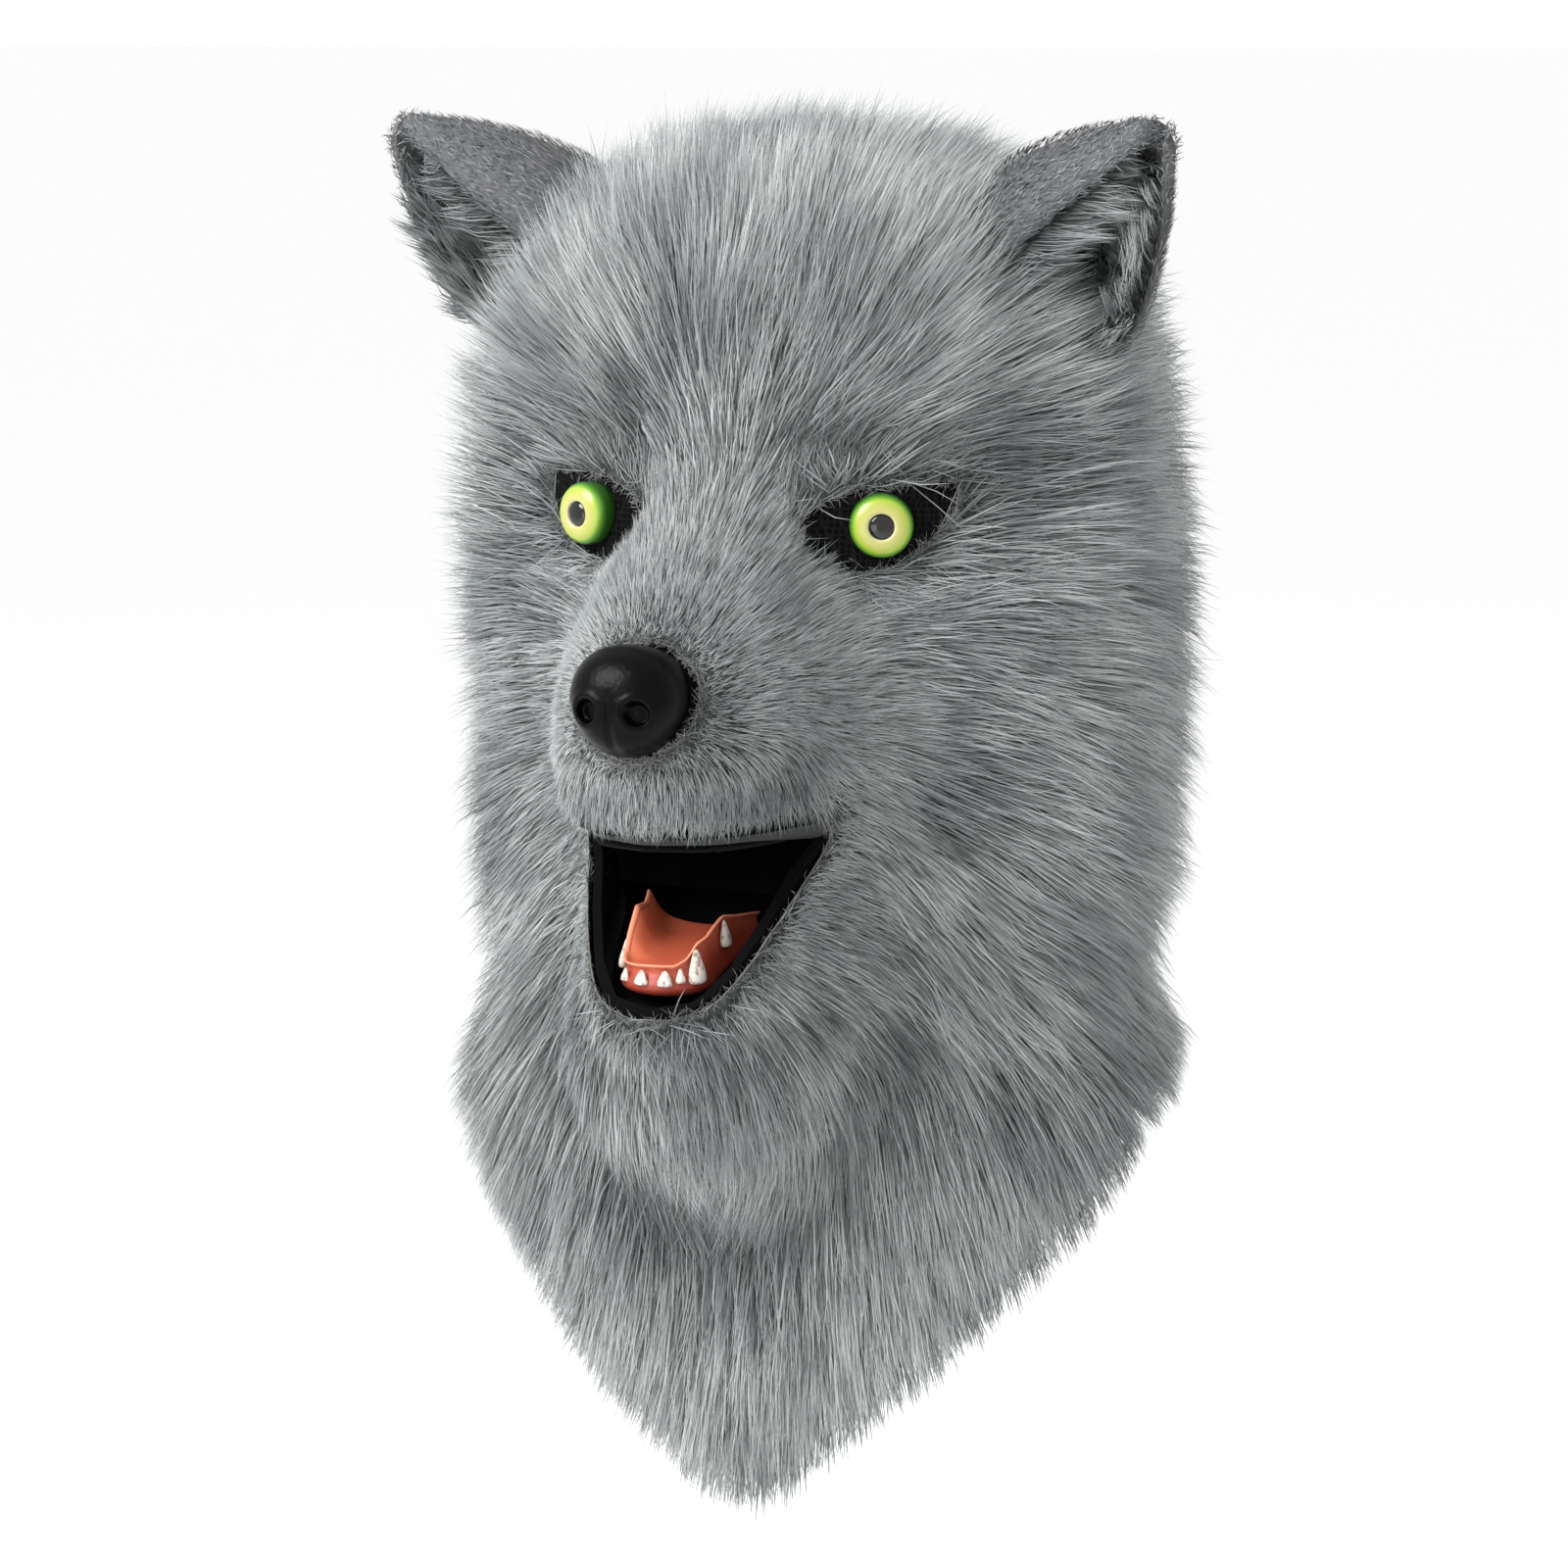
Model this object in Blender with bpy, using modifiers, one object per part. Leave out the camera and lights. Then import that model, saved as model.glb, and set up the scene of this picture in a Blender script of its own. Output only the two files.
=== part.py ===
"""A full-head werewolf mask: a thin black backing shaped as a head with a muzzle and a bib, deep fur
fixed over it in locks, two cupped ears, domed eyes in dark sockets, a moulded nose and, in the open
mouth, a rolled roof, a jaw pan and a gum liner with teeth.

The origin is the inside of the crown, where the mask sits on the head. The face looks along -Y, +Z is
up, and lengths are metres."""

import math
import random

import bmesh
import bpy
import numpy as np
from mathutils import Matrix, Vector

# The head and the hood
HEAD_HALF_WIDTH = 0.090
HEAD_FRONT = 0.085
HEAD_BACK = 0.096
HEAD_AXIS_Y = 0.015
HOOD_DROP = 0.290
BIB_DROP = 0.130
NAPE_DROP = 0.030
BACKING = 0.003
DOME_POWER = 2.3
FAN_SHARE = 0.76
# How fast the hem climbs from the bib's point and from the nape: powers of the turn's cosine
BIB_POWER = 1.4
NAPE_POWER = 2.0
# The muzzle, measured from the head's axis
MUZZLE_HALF_WIDTH = 0.054
MUZZLE_REACH = 0.167
MUZZLE_SQUARE = 2.5
BLEND = 8.0
MUZZLE_TIP_Y = HEAD_AXIS_Y - MUZZLE_REACH
# Heights on the face, as shares of the hood's drop
EYE_Z = -0.3172 * HOOD_DROP
NOSE_Z = -0.4862 * HOOD_DROP
LIP_Z = -0.6414 * HOOD_DROP
JAW_RIM_Z = -0.8483 * HOOD_DROP
# Places along the muzzle, as shares of its reach
PAN_BACK_Y = HEAD_AXIS_Y - 0.401 * MUZZLE_REACH
LINER_BACK_Y = HEAD_AXIS_Y - 0.630 * MUZZLE_REACH
MOUTH_CORNER_Y = HEAD_AXIS_Y - 0.605 * MUZZLE_REACH
JAW_RIM_Y = HEAD_AXIS_Y - 0.925 * MUZZLE_REACH
CHIN_CORNER = 0.008
LIP_SHOWN = 0.009
# Folds of the bib, which start at a share of the hood's drop
BIB_FOLD_RISE = 0.005
FOLD_START = 0.90
FOLD_SPAN = 0.15
# Fur: short round the middle of the muzzle, longest a whole reach away from it
FUR_SETBACK = 0.002
FUR_SHORT = 0.008
FUR_LONG = 0.033
SHORT_FUR_RADIUS = 0.35 * MUZZLE_REACH
FUR_GROWTH_SPAN = 0.63 * MUZZLE_REACH
MUZZLE_MIDDLE_Y = HEAD_AXIS_Y - 0.79 * MUZZLE_REACH
MUZZLE_MIDDLE_Z = -0.552 * HOOD_DROP
BODY_SHARE = 0.45
LOCK_SHARE = 0.50
LOCK_LEAN = 0.75
# Where the fur turns to hang: behind this y, and below this share of the hood's drop
HANG_BEHIND = 0.10
HANG_START = 0.80
HANG_SPAN = 0.22
HANG_SPREAD = 0.35
# Ears
EAR_ROOT = Vector((HEAD_HALF_WIDTH, -0.010, -0.005))
EAR_TIP = EAR_ROOT + Vector((0.050, -0.030, 0.043))
EAR_HALF_WIDTH = 0.031
EAR_THICKNESS = 0.004
EAR_START = -0.8
EAR_END = 0.93
EAR_TAPER = 1.55
TUFT_THICKNESS = 0.003
TUFT_LOCK = 0.006
# Eyes
EYE_SPACING = 0.102
EYE_YAW = math.radians(21.0)
EYE_OPENING = 0.060
EYE_RADIUS = 0.0105
EYE_DOME = 0.0065
EYE_PROUD = 0.0015
EYE_BACK = 0.007
EYE_RIM_SHARE = 0.18
PUPIL_RADIUS = 0.0042
PUPIL_FLOOR = 0.72 * EYE_DOME
SOCKET_THICKNESS = 0.0015
SOCKET_SEAT = 0.003
# Nose
NOSE_WIDTH = 0.0385
NOSE_HEIGHT = 0.0360
NOSE_DEPTH = 0.034
NOSE_TILT = math.radians(-8)
NOSE_NARROW = 0.20
NOSE_POWERS = (0.86, 0.85, 0.90)
NOSTRIL_RADIUS = 0.0034
NOSTRIL_DEPTH = 0.0025
NOSTRIL_OUT = 0.22 * NOSE_WIDTH
NOSTRIL_DOWN = 0.10 * NOSE_HEIGHT
# Inside the mouth
PAN_THICKNESS = 0.002
PAN_DROP = 0.004
JAW_SLOPE = 0.34
ROOF_HEIGHT = 0.010
ROOF_LIP = 0.007
LINER_HALF_WIDTH = 0.361 * MUZZLE_HALF_WIDTH
LINER_LENGTH = 0.2515 * MUZZLE_REACH
LINER_THICKNESS = 0.0016
LINER_DEPTH = 0.0075
LINER_RISE = 1.15
LINER_SCALLOP = 0.22
TOOTH_HEIGHT = 0.0085
TOOTH_RADIUS = 0.0024
TOOTH_TIP = 0.35
TOOTH_SEAT = 0.88
# Fits
GAP = 0.0003
SLOT_GAP = 0.0006
LOOSE = 0.0010
# How finely the forms are divided
COLUMNS = 30
ROWS = 23
EAR_COLUMNS = 9
EAR_ROWS = 11
PAN_COLUMNS = 11
LINER_COLUMNS = 15
FRONT_WEIGHT = 0.75

# Level sections of the head below the crown's dome. drop: share of HOOD_DROP. side, front, back:
# shares of HEAD_HALF_WIDTH, HEAD_FRONT and HEAD_BACK. square: 2 is an ellipse, more is boxier.
HEAD_COLUMNS = ("drop", "side", "front", "back", "square")
HEAD_SECTIONS = (
    (0.21, 0.94, 0.97, 0.99, 2.6),
    (0.30, 0.98, 1.00, 1.00, 2.9),
    (0.42, 1.01, 1.00, 0.99, 2.9),
    (0.58, 1.03, 0.98, 0.93, 2.6),
    (0.72, 1.02, 0.94, 0.87, 2.4),
    (0.84, 0.98, 0.88, 0.82, 2.3),
    (0.92, 1.03, 0.84, 0.85, 2.3),
    (1.00, 1.16, 0.81, 0.92, 2.3),
    (1.15, 1.26, 0.77, 1.00, 2.3),
    (1.45, 1.28, 0.74, 1.02, 2.3),
)
# Level sections of the muzzle and chin. wide, reach: shares of MUZZLE_HALF_WIDTH and MUZZLE_REACH.
MUZZLE_COLUMNS = ("drop", "wide", "reach")
MUZZLE_SECTIONS = (
    (0.18, 0.30, 0.36),
    (0.29, 0.52, 0.57),
    (0.37, 0.67, 0.76),
    (0.43, 0.82, 0.92),
    (0.48, 0.92, 0.99),
    (0.54, 0.98, 1.00),
    (0.61, 1.00, 0.975),
    (0.66, 0.89, 0.950),
    (0.73, 0.83, 0.940),
    (0.80, 0.81, 0.945),
    (0.86, 0.79, 0.935),
    (0.91, 0.73, 0.860),
    (0.97, 0.61, 0.680),
    (1.04, 0.44, 0.460),
    (1.45, 0.30, 0.30),
)
# The bib's folds run down from the chin. x at the top and at the foot and the width, as shares of
# HEAD_HALF_WIDTH, then the rise as a share of BIB_FOLD_RISE.
BIB_FOLDS = (
    (-0.10, -0.55, 0.14, 1.0),
    (0.42, 0.62, 0.20, 0.7),
)
# The eye opening, as shares of EYE_OPENING: across (outer corner +) and up.
EYE_OUTLINE = (
    (-0.53, -0.08),
    (-0.30, 0.13),
    (-0.02, 0.21),
    (0.43, 0.22),
    (0.38, 0.04),
    (0.14, -0.21),
    (-0.15, -0.27),
    (-0.44, -0.21),
)
# The ear's rim at its root, as shares of EAR_HALF_WIDTH from EAR_ROOT: out, back, up.
EAR_RIM = (
    (-0.45, -0.84, -0.29),
    (-0.66, -0.60, 0.30),
    (-0.62, -0.20, 0.80),
    (-0.20, 0.50, 0.75),
    (0.30, 0.80, 0.20),
    (0.70, 0.50, -0.50),
    (0.90, -0.15, -0.98),
)
# The rings of the mouth's roof and of the jaw pan: share of the way to the wall, and rise.
ROOF_RINGS = (
    (0.35, ROOF_HEIGHT),
    (0.70, ROOF_HEIGHT * 0.8),
    (0.92, 0.0),
    (1.00, -ROOF_LIP),
)
JAW_RINGS = (
    (0.40, 0.0),
    (0.80, 0.0),
    (1.00, PAN_THICKNESS),
)
# The gum liner from its middle to its foot: out, up (shares of its plan and of LINER_DEPTH).
LINER_PROFILE = (
    (0.0, -0.55),
    (0.38, -0.62),
    (0.62, -0.40),
    (0.84, 0.00),
    (0.96, -0.10),
    (1.02, -0.50),
    (0.97, -1.00),
)
# Teeth on one side of the liner: turn from the front in degrees, height and girth as shares.
TEETH = (
    ("incisor_inner", 9.0, 0.62, 1.00),
    ("incisor_outer", 26.0, 0.60, 0.95),
    ("canine", 45.0, 1.35, 1.25),
    ("cheek", 66.0, 0.85, 1.10),
)

COLORS = {
    "fur": (0.42, 0.44, 0.44),
    "pile": (0.20, 0.20, 0.21),
    "black_cloth": (0.012, 0.012, 0.013),
    "black_gloss": (0.006, 0.006, 0.006),
    "eye_green": (0.32, 0.75, 0.03),
    "pupil_black": (0.004, 0.004, 0.004),
    "gum": (0.75, 0.18, 0.09),
    "tooth": (0.80, 0.76, 0.68),
}


def make_collection(name):
    made = bpy.data.collections.new(name)
    bpy.context.scene.collection.children.link(made)
    return made


def make_material(name, roughness):
    material = bpy.data.materials.new(name)
    material.use_nodes = True
    shader = material.node_tree.nodes["Principled BSDF"]
    shader.inputs["Base Color"].default_value = (*COLORS[name], 1.0)
    shader.inputs["Roughness"].default_value = roughness
    shader.inputs["Metallic"].default_value = 0.0
    return material


def add_object(name, bm, group, material=None):
    """A new object from a bmesh, which is used up."""
    mesh = bpy.data.meshes.new(name)
    bm.to_mesh(mesh)
    bm.free()
    made = bpy.data.objects.new(name, mesh)
    group.objects.link(made)
    if material:
        mesh.materials.append(material)
    if group is cutters:
        made.hide_render = True
        made.display_type = "WIRE"
    return made


def boolean(target, tool, operation):
    modifier = target.modifiers.new(operation.lower(), "BOOLEAN")
    modifier.operation = operation
    modifier.object = tool
    modifier.solver = "EXACT"


def keep_main_body(target):
    """Applies the modifiers, and drops the offcuts that the cuts left loose."""
    graph = bpy.context.evaluated_depsgraph_get()
    mesh = bpy.data.meshes.new_from_object(target.evaluated_get(graph))
    bm = bmesh.new()
    bm.from_mesh(mesh)
    left = set(bm.verts)
    bodies = []
    while left:
        todo = [left.pop()]
        body = set(todo)
        while todo:
            for edge in todo.pop().link_edges:
                for vert in edge.verts:
                    if vert not in body:
                        body.add(vert)
                        todo.append(vert)
        left -= body
        bodies.append(body)
    main = max(bodies, key=len)
    bmesh.ops.delete(bm, geom=[v for v in bm.verts if v not in main], context="VERTS")
    bm.to_mesh(mesh)
    bm.free()
    target.modifiers.clear()
    target.data = mesh


def curve_through(at, xs, ys):
    """ys at the places at, on a smooth curve through the points (xs, ys)."""
    slopes = np.gradient(ys, xs)
    at = np.clip(at, xs[0], xs[-1])
    k = np.clip(np.searchsorted(xs, at) - 1, 0, len(xs) - 2)
    step = xs[k + 1] - xs[k]
    t = (at - xs[k]) / step
    return (
        (2 * t**3 - 3 * t**2 + 1) * ys[k]
        + (t**3 - 2 * t**2 + t) * step * slopes[k]
        + (3 * t**2 - 2 * t**3) * ys[k + 1]
        + (t**3 - t**2) * step * slopes[k + 1]
    )


def section(table, columns, drop):
    """A table's columns, apart from the drop, at a drop below the crown."""
    rows = np.array(table)
    return {
        name: curve_through(drop, rows[:, 0], rows[:, k])
        for k, name in enumerate(columns)
        if k
    }


def backing_radius(turn, z):
    """How far the backing's outside lies from the head's axis. turn is 0 in front and grows
    towards +X."""
    drop = -z / HOOD_DROP
    dome_foot = -HEAD_SECTIONS[0][0] * HOOD_DROP
    climb = np.clip((z - dome_foot) / (BACKING - dome_foot), 0, 1)
    dome = np.clip(1 - climb**DOME_POWER, 0, 1) ** (1 / DOME_POWER)
    head = section(HEAD_SECTIONS, HEAD_COLUMNS, np.maximum(drop, HEAD_SECTIONS[0][0]))
    square = 2.1 + (head["square"] - 2.1) * dome
    side = HEAD_HALF_WIDTH * head["side"] * dome
    ahead = np.cos(turn) > 0
    along = np.where(ahead, HEAD_FRONT * head["front"], HEAD_BACK * head["back"]) * dome
    across = np.abs(np.sin(turn)) + 1e-9
    forward = np.abs(np.cos(turn)) + 1e-9
    with np.errstate(divide="ignore"):
        skull = ((across / side) ** square + (forward / along) ** square) ** (-1 / square)
    nose = section(MUZZLE_SECTIONS, MUZZLE_COLUMNS, drop)
    muzzle = (
        (across / (MUZZLE_HALF_WIDTH * nose["wide"])) ** MUZZLE_SQUARE
        + (forward / (MUZZLE_REACH * nose["reach"])) ** MUZZLE_SQUARE
    ) ** (-1 / MUZZLE_SQUARE)
    muzzle = np.where(ahead & (dome > 0.9), muzzle, 0)
    return (skull**BLEND + muzzle**BLEND) ** (1 / BLEND)


def hem_z(turn):
    """The height of the hem: lowest at the bib's point, and a little lower at the nape."""
    ahead = np.maximum(np.cos(turn), 0) ** BIB_POWER
    behind = np.maximum(-np.cos(turn), 0) ** NAPE_POWER
    return -(HOOD_DROP + BIB_DROP * ahead + NAPE_DROP * behind)


def fold_rise(x, z, turn):
    """How far the bib's folds stand out."""
    rise = 0
    below = np.clip((-z / HOOD_DROP - FOLD_START) / FOLD_SPAN, 0, 1)
    share = np.clip((-z - FOLD_START * HOOD_DROP) / BIB_DROP, 0, 1.5)
    for top, foot, width, height in BIB_FOLDS:
        middle = HEAD_HALF_WIDTH * (top + (foot - top) * share)
        rise = rise + height * np.exp(-(((x - middle) / (width * HEAD_HALF_WIDTH)) ** 2))
    return BIB_FOLD_RISE * rise * below * (np.cos(turn) > 0)


def backing_point(turn, z):
    radius = backing_radius(turn, z)
    radius = radius + fold_rise(radius * np.sin(turn), z, turn)
    return np.stack(
        (radius * np.sin(turn), HEAD_AXIS_Y - radius * np.cos(turn), z + 0 * turn), axis=-1
    )


def even_turns(z, count):
    """Turns round a level section that lie evenly along it, closer together in front."""
    turn = np.linspace(-math.pi, math.pi, 721)
    ring = backing_point(turn, np.full_like(turn, z))
    steps = np.linalg.norm(np.diff(ring, axis=0), axis=1)
    middle = (turn[1:] + turn[:-1]) / 2
    length = np.concatenate(([0], np.cumsum(steps * (1 + 0.55 * np.cos(middle)))))
    return np.interp(np.arange(count) / count * length[-1], length, turn)


def fanned(z, turn):
    """A row's heights round the head: level down to the neck, then fanning out to the hem."""
    fan_z = -FAN_SHARE * HOOD_DROP
    share = np.clip((z - fan_z) / (-HOOD_DROP - fan_z), 0, 1)
    return np.where(share > 0, fan_z + share * (hem_z(turn) - fan_z), z)


def row_heights():
    """Heights of the rows from the crown's pole to the hem, spaced mostly along the front's
    outline."""
    dome_foot = -HEAD_SECTIONS[0][0] * HOOD_DROP
    climb = np.sin(np.linspace(math.pi / 2, 0, 80)) ** (2 / DOME_POWER)
    dome = dome_foot + (BACKING - dome_foot) * climb
    z = np.concatenate((dome[1:-1], np.linspace(dome_foot, -HOOD_DROP, 200)))
    steps = 0
    for turn, weight in ((0.0, FRONT_WEIGHT), (math.pi / 2, 1 - FRONT_WEIGHT)):
        turn = np.full_like(z, turn)
        outline = backing_point(turn, fanned(z, turn))
        steps = steps + weight * np.linalg.norm(np.diff(outline, axis=0), axis=1)
    length = np.concatenate(([0], np.cumsum(steps)))
    return np.interp(np.arange(1, ROWS + 1) / ROWS * length[-1], length, z)


def backing_grid():
    """Points on the backing's outside, a row for each height, with the outward directions."""
    grid = []
    for z in row_heights():
        turn = even_turns(z, COLUMNS)
        grid.append(backing_point(turn, fanned(z, turn)))
    grid = np.array(grid)
    round_way = np.roll(grid, -1, axis=1) - np.roll(grid, 1, axis=1)
    down = np.gradient(grid, axis=0)
    out = np.cross(down, round_way)
    out /= np.linalg.norm(out, axis=2, keepdims=True)
    return grid, out


def fur_depth(point):
    """The fur is short on the muzzle and longest on the crown, the cheeks and the bib."""
    ahead = np.array((0, MUZZLE_MIDDLE_Y, MUZZLE_MIDDLE_Z))
    away = np.linalg.norm(point - ahead, axis=-1)
    reach = np.clip((away - SHORT_FUR_RADIUS) / FUR_GROWTH_SPAN, 0, 1)
    return FUR_SHORT + (FUR_LONG - FUR_SHORT) * reach**2 * (3 - 2 * reach)


def comb_direction(point):
    """The way the fur lies: back from the nose, and down at the nape and below the jaw."""
    away = point - Vector((0, MUZZLE_TIP_Y, NOSE_Z))
    away.normalize()
    behind = min(max(point.y / HANG_BEHIND, 0), 1)
    below = min(max((-point.z / HOOD_DROP - HANG_START) / HANG_SPAN, 0), 1)
    down = Vector((HANG_SPREAD * point.x / HEAD_HALF_WIDTH, 0, -1))
    mix = max(behind, below)
    return (away * (1 - mix) + down * mix).normalized()


def add_skin(bm, rows, pole, flip):
    """Quads between rows of points, a fan to the pole, and the last row's vertices."""
    top = bm.verts.new(pole)
    last = None
    faces = []
    for row in rows:
        ring = [bm.verts.new(p) for p in row]
        count = len(ring)
        for k in range(count):
            n = (k + 1) % count
            corners = (top, ring[k], ring[n]) if last is None else (last[k], ring[k], ring[n], last[n])
            faces.append(bm.faces.new(corners[::-1] if flip else corners))
        last = ring
    return last, faces


def shell(outer, inner, outer_pole, inner_pole):
    """A closed wall between two grids, open at the hem's hollow, and its outer faces."""
    bm = bmesh.new()
    foot, faces = add_skin(bm, outer, outer_pole, False)
    inner_foot, _ = add_skin(bm, inner, inner_pole, True)
    count = len(foot)
    for k in range(count):
        n = (k + 1) % count
        bm.faces.new((foot[n], foot[k], inner_foot[k], inner_foot[n]))
    return bm, faces


def hood_lining():
    """The black backing, a thin wall open at the neck."""
    inner = GRID - OUT * BACKING
    bm, _ = shell(GRID, inner, (0, HEAD_AXIS_Y, BACKING), (0, HEAD_AXIS_Y, 0))
    bmesh.ops.triangulate(bm, faces=bm.faces)
    return add_object("hood_lining", bm, parts, cloth)


def hood_fur():
    """The fur: a body near half its depth, with a leaning lock raised on every cell."""
    depth = fur_depth(GRID)[..., None]
    root = GRID + OUT * GAP
    body = GRID + OUT * depth * BODY_SHARE
    bm, cells = shell(
        body,
        root,
        (0, HEAD_AXIS_Y, BACKING + FUR_LONG * BODY_SHARE),
        (0, HEAD_AXIS_Y, BACKING + GAP),
    )
    bm.normal_update()
    dice = random.Random(11)
    for face in cells:
        normal = face.normal.copy()
        cell = math.sqrt(face.calc_area())
        tip = bmesh.ops.poke(bm, faces=[face], center_mode="MEAN_WEIGHTED")["verts"][0]
        long = float(fur_depth(np.array(tip.co))) * dice.uniform(0.85, 1.15)
        comb = comb_direction(tip.co)
        lean = comb - normal * comb.dot(normal)
        tip.co += normal * long * LOCK_SHARE + lean * min(LOCK_LEAN * cell, long)
    bmesh.ops.triangulate(bm, faces=bm.faces)
    return add_object("hood_fur", bm, parts, fur)


def outline_prism(name, outline, near, far, place):
    """A straight-sided cutter of an outline in the local XZ plane, from y near to y far."""
    bm = bmesh.new()
    verts = [bm.verts.new((x, near, z)) for x, z in outline]
    face = bm.faces.new(verts)
    grown = bmesh.ops.extrude_face_region(bm, geom=[face])["geom"]
    moved = [v for v in grown if isinstance(v, bmesh.types.BMVert)]
    bmesh.ops.translate(bm, verts=moved, vec=(0, far - near, 0))
    bmesh.ops.transform(bm, matrix=place, verts=bm.verts)
    bmesh.ops.recalc_face_normals(bm, faces=bm.faces)
    return add_object(name, bm, cutters)


def mouth_cutter(name, spread, lip_shown=0.0):
    """The wedge of the open mouth, in side view, right through the muzzle. The fur is cut back
    higher at the corner, and shows the lip there."""
    front = HEAD_AXIS_Y - MUZZLE_REACH - 0.05
    wide = MUZZLE_HALF_WIDTH * 1.6
    side = (
        (MOUTH_CORNER_Y + spread, LIP_Z + spread + lip_shown),
        (MOUTH_CORNER_Y + spread, LIP_Z - spread),
        (JAW_RIM_Y + CHIN_CORNER, JAW_RIM_Z + CHIN_CORNER - spread),
        (JAW_RIM_Y - CHIN_CORNER / 2, JAW_RIM_Z - spread),
        (front, JAW_RIM_Z - spread),
        (front, LIP_Z + spread),
    )
    quarter = Matrix.Rotation(math.radians(90), 4, "Z")
    return outline_prism(name, side, -wide, wide, quarter)


def eye_place(side):
    """The eye's frame on the backing: local -Y looks out of the eye."""
    x = EYE_SPACING / 2
    turn = np.linspace(0.3, 1.1, 200)
    across = backing_point(turn, np.full_like(turn, EYE_Z))
    y = float(np.interp(x, across[:, 0], across[:, 1]))
    spot = Matrix.Translation((side * x, y, EYE_Z))
    return spot @ Matrix.Rotation(side * EYE_YAW, 4, "Z")


def eye_cutter(name, side, margin):
    grown = 1 + 2 * margin / EYE_OPENING
    outline = [(side * EYE_OPENING * grown * x, EYE_OPENING * grown * z) for x, z in EYE_OUTLINE]
    return outline_prism(name, outline, -0.045, 0.040, eye_place(side))


def eye_socket(side_name, side):
    """The dark patch that fills an eye opening, lying on the backing."""
    near = GRID + OUT * GAP
    far = GRID + OUT * (GAP + SOCKET_THICKNESS)
    bm, _ = shell(
        far, near, (0, HEAD_AXIS_Y, BACKING + GAP + SOCKET_THICKNESS), (0, HEAD_AXIS_Y, BACKING + GAP)
    )
    bmesh.ops.triangulate(bm, faces=bm.faces)
    patch = add_object(f"socket_{side_name}", bm, parts, cloth)
    boolean(patch, eye_cutter(f"socket_outline_{side_name}", side, -SLOT_GAP), "INTERSECT")
    return patch


def turned(name, profile, steps, place, material):
    """A turned solid: its profile runs down the outer side, and turns about local Z."""
    bm = bmesh.new()
    verts = [bm.verts.new((r, 0, z)) for r, z in profile]
    for a, b in zip(verts, verts[1:]):
        bm.edges.new((a, b))
    made = add_object(name, bm, parts, material)
    made.matrix_world = place
    screw = made.modifiers.new("turn", "SCREW")
    screw.steps = steps
    screw.render_steps = steps
    screw.use_merge_vertices = True
    screw.merge_threshold = 0.00001
    return made


def eye(side_name, side):
    """A green dome with a hole in its middle, trimmed to the socket behind it, and the pupil that
    stands in the hole."""
    out = SOCKET_THICKNESS + 2 * GAP + EYE_PROUD
    place = eye_place(side) @ Matrix.Rotation(math.radians(90), 4, "X") @ Matrix.Translation((0, 0, out))
    hole = PUPIL_RADIUS + GAP
    dome = [(0, PUPIL_FLOOR), (hole, PUPIL_FLOOR), (hole, EYE_DOME)]
    for k in range(1, 5):
        angle = math.radians(90 * k / 4)
        across = hole + (EYE_RADIUS - hole) * math.sin(angle)
        dome.append((across, EYE_DOME * (EYE_RIM_SHARE + (1 - EYE_RIM_SHARE) * math.cos(angle))))
    dome += [(EYE_RADIUS, -EYE_BACK), (0, -EYE_BACK)]
    ball = turned(f"eye_{side_name}", dome, 16, place, green)
    boolean(ball, socket_core, "DIFFERENCE")
    stand = place @ Matrix.Translation((0, 0, PUPIL_FLOOR + GAP))
    height = EYE_DOME - PUPIL_FLOOR
    button = [(0, height), (PUPIL_RADIUS * 0.6, height * 0.9), (PUPIL_RADIUS, height * 0.5)]
    button += [(PUPIL_RADIUS, 0), (0, 0)]
    turned(f"pupil_{side_name}", button, 12, stand, pupil_black)


def core(name, grow):
    """The head's solid, with the backing's outside moved out by grow, to trim pieces that seat
    on it."""
    bm = bmesh.new()
    foot, _ = add_skin(bm, GRID + OUT * grow, (0, HEAD_AXIS_Y, BACKING + grow), False)
    middle = bm.verts.new((0, HEAD_AXIS_Y, -HOOD_DROP))
    for k, vert in enumerate(foot):
        bm.faces.new((foot[(k + 1) % len(foot)], vert, middle))
    bmesh.ops.triangulate(bm, faces=bm.faces)
    return add_object(name, bm, cutters)


def ear_sheet(side, rows, columns):
    """The ear's curved sheet from its root in the head towards its tip, or some of its rows and
    columns."""
    rim = np.array(EAR_RIM)
    length = np.arange(len(rim)) / (len(rim) - 1)
    across = np.linspace(0, 1, EAR_COLUMNS)
    arc = np.stack([curve_through(across, length, rim[:, k]) for k in range(3)], axis=-1)
    bm = bmesh.new()
    last = None
    for t in np.linspace(EAR_START, EAR_END, EAR_ROWS)[rows]:
        middle = EAR_ROOT.lerp(EAR_TIP, t)
        full = 1 - max(t, 0) ** EAR_TAPER
        row = []
        for x, y, z in arc[columns]:
            spot = middle + Vector((x, y, z)) * EAR_HALF_WIDTH * full
            row.append(bm.verts.new((side * spot.x, spot.y, spot.z)))
        if last:
            for k in range(len(row) - 1):
                corners = (last[k], last[k + 1], row[k + 1], row[k])
                bm.faces.new(corners if side > 0 else corners[::-1])
        last = row
    return bm


def thicken(target, thickness, offset=0.0):
    modifier = target.modifiers.new("wall", "SOLIDIFY")
    modifier.thickness = thickness
    modifier.offset = offset


def ear(side_name, side):
    """A cupped ear that stands on the backing, and the slot that the fur keeps for it."""
    every = slice(None)
    made = add_object(f"ear_{side_name}", ear_sheet(side, every, every), parts, pile)
    thicken(made, EAR_THICKNESS)
    boolean(made, head_core, "DIFFERENCE")
    slot = add_object(f"ear_slot_{side_name}", ear_sheet(side, every, every), cutters)
    thicken(slot, EAR_THICKNESS)
    swell = slot.modifiers.new("clearance", "DISPLACE")
    swell.strength = LOOSE
    swell.mid_level = 0
    return slot


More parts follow.
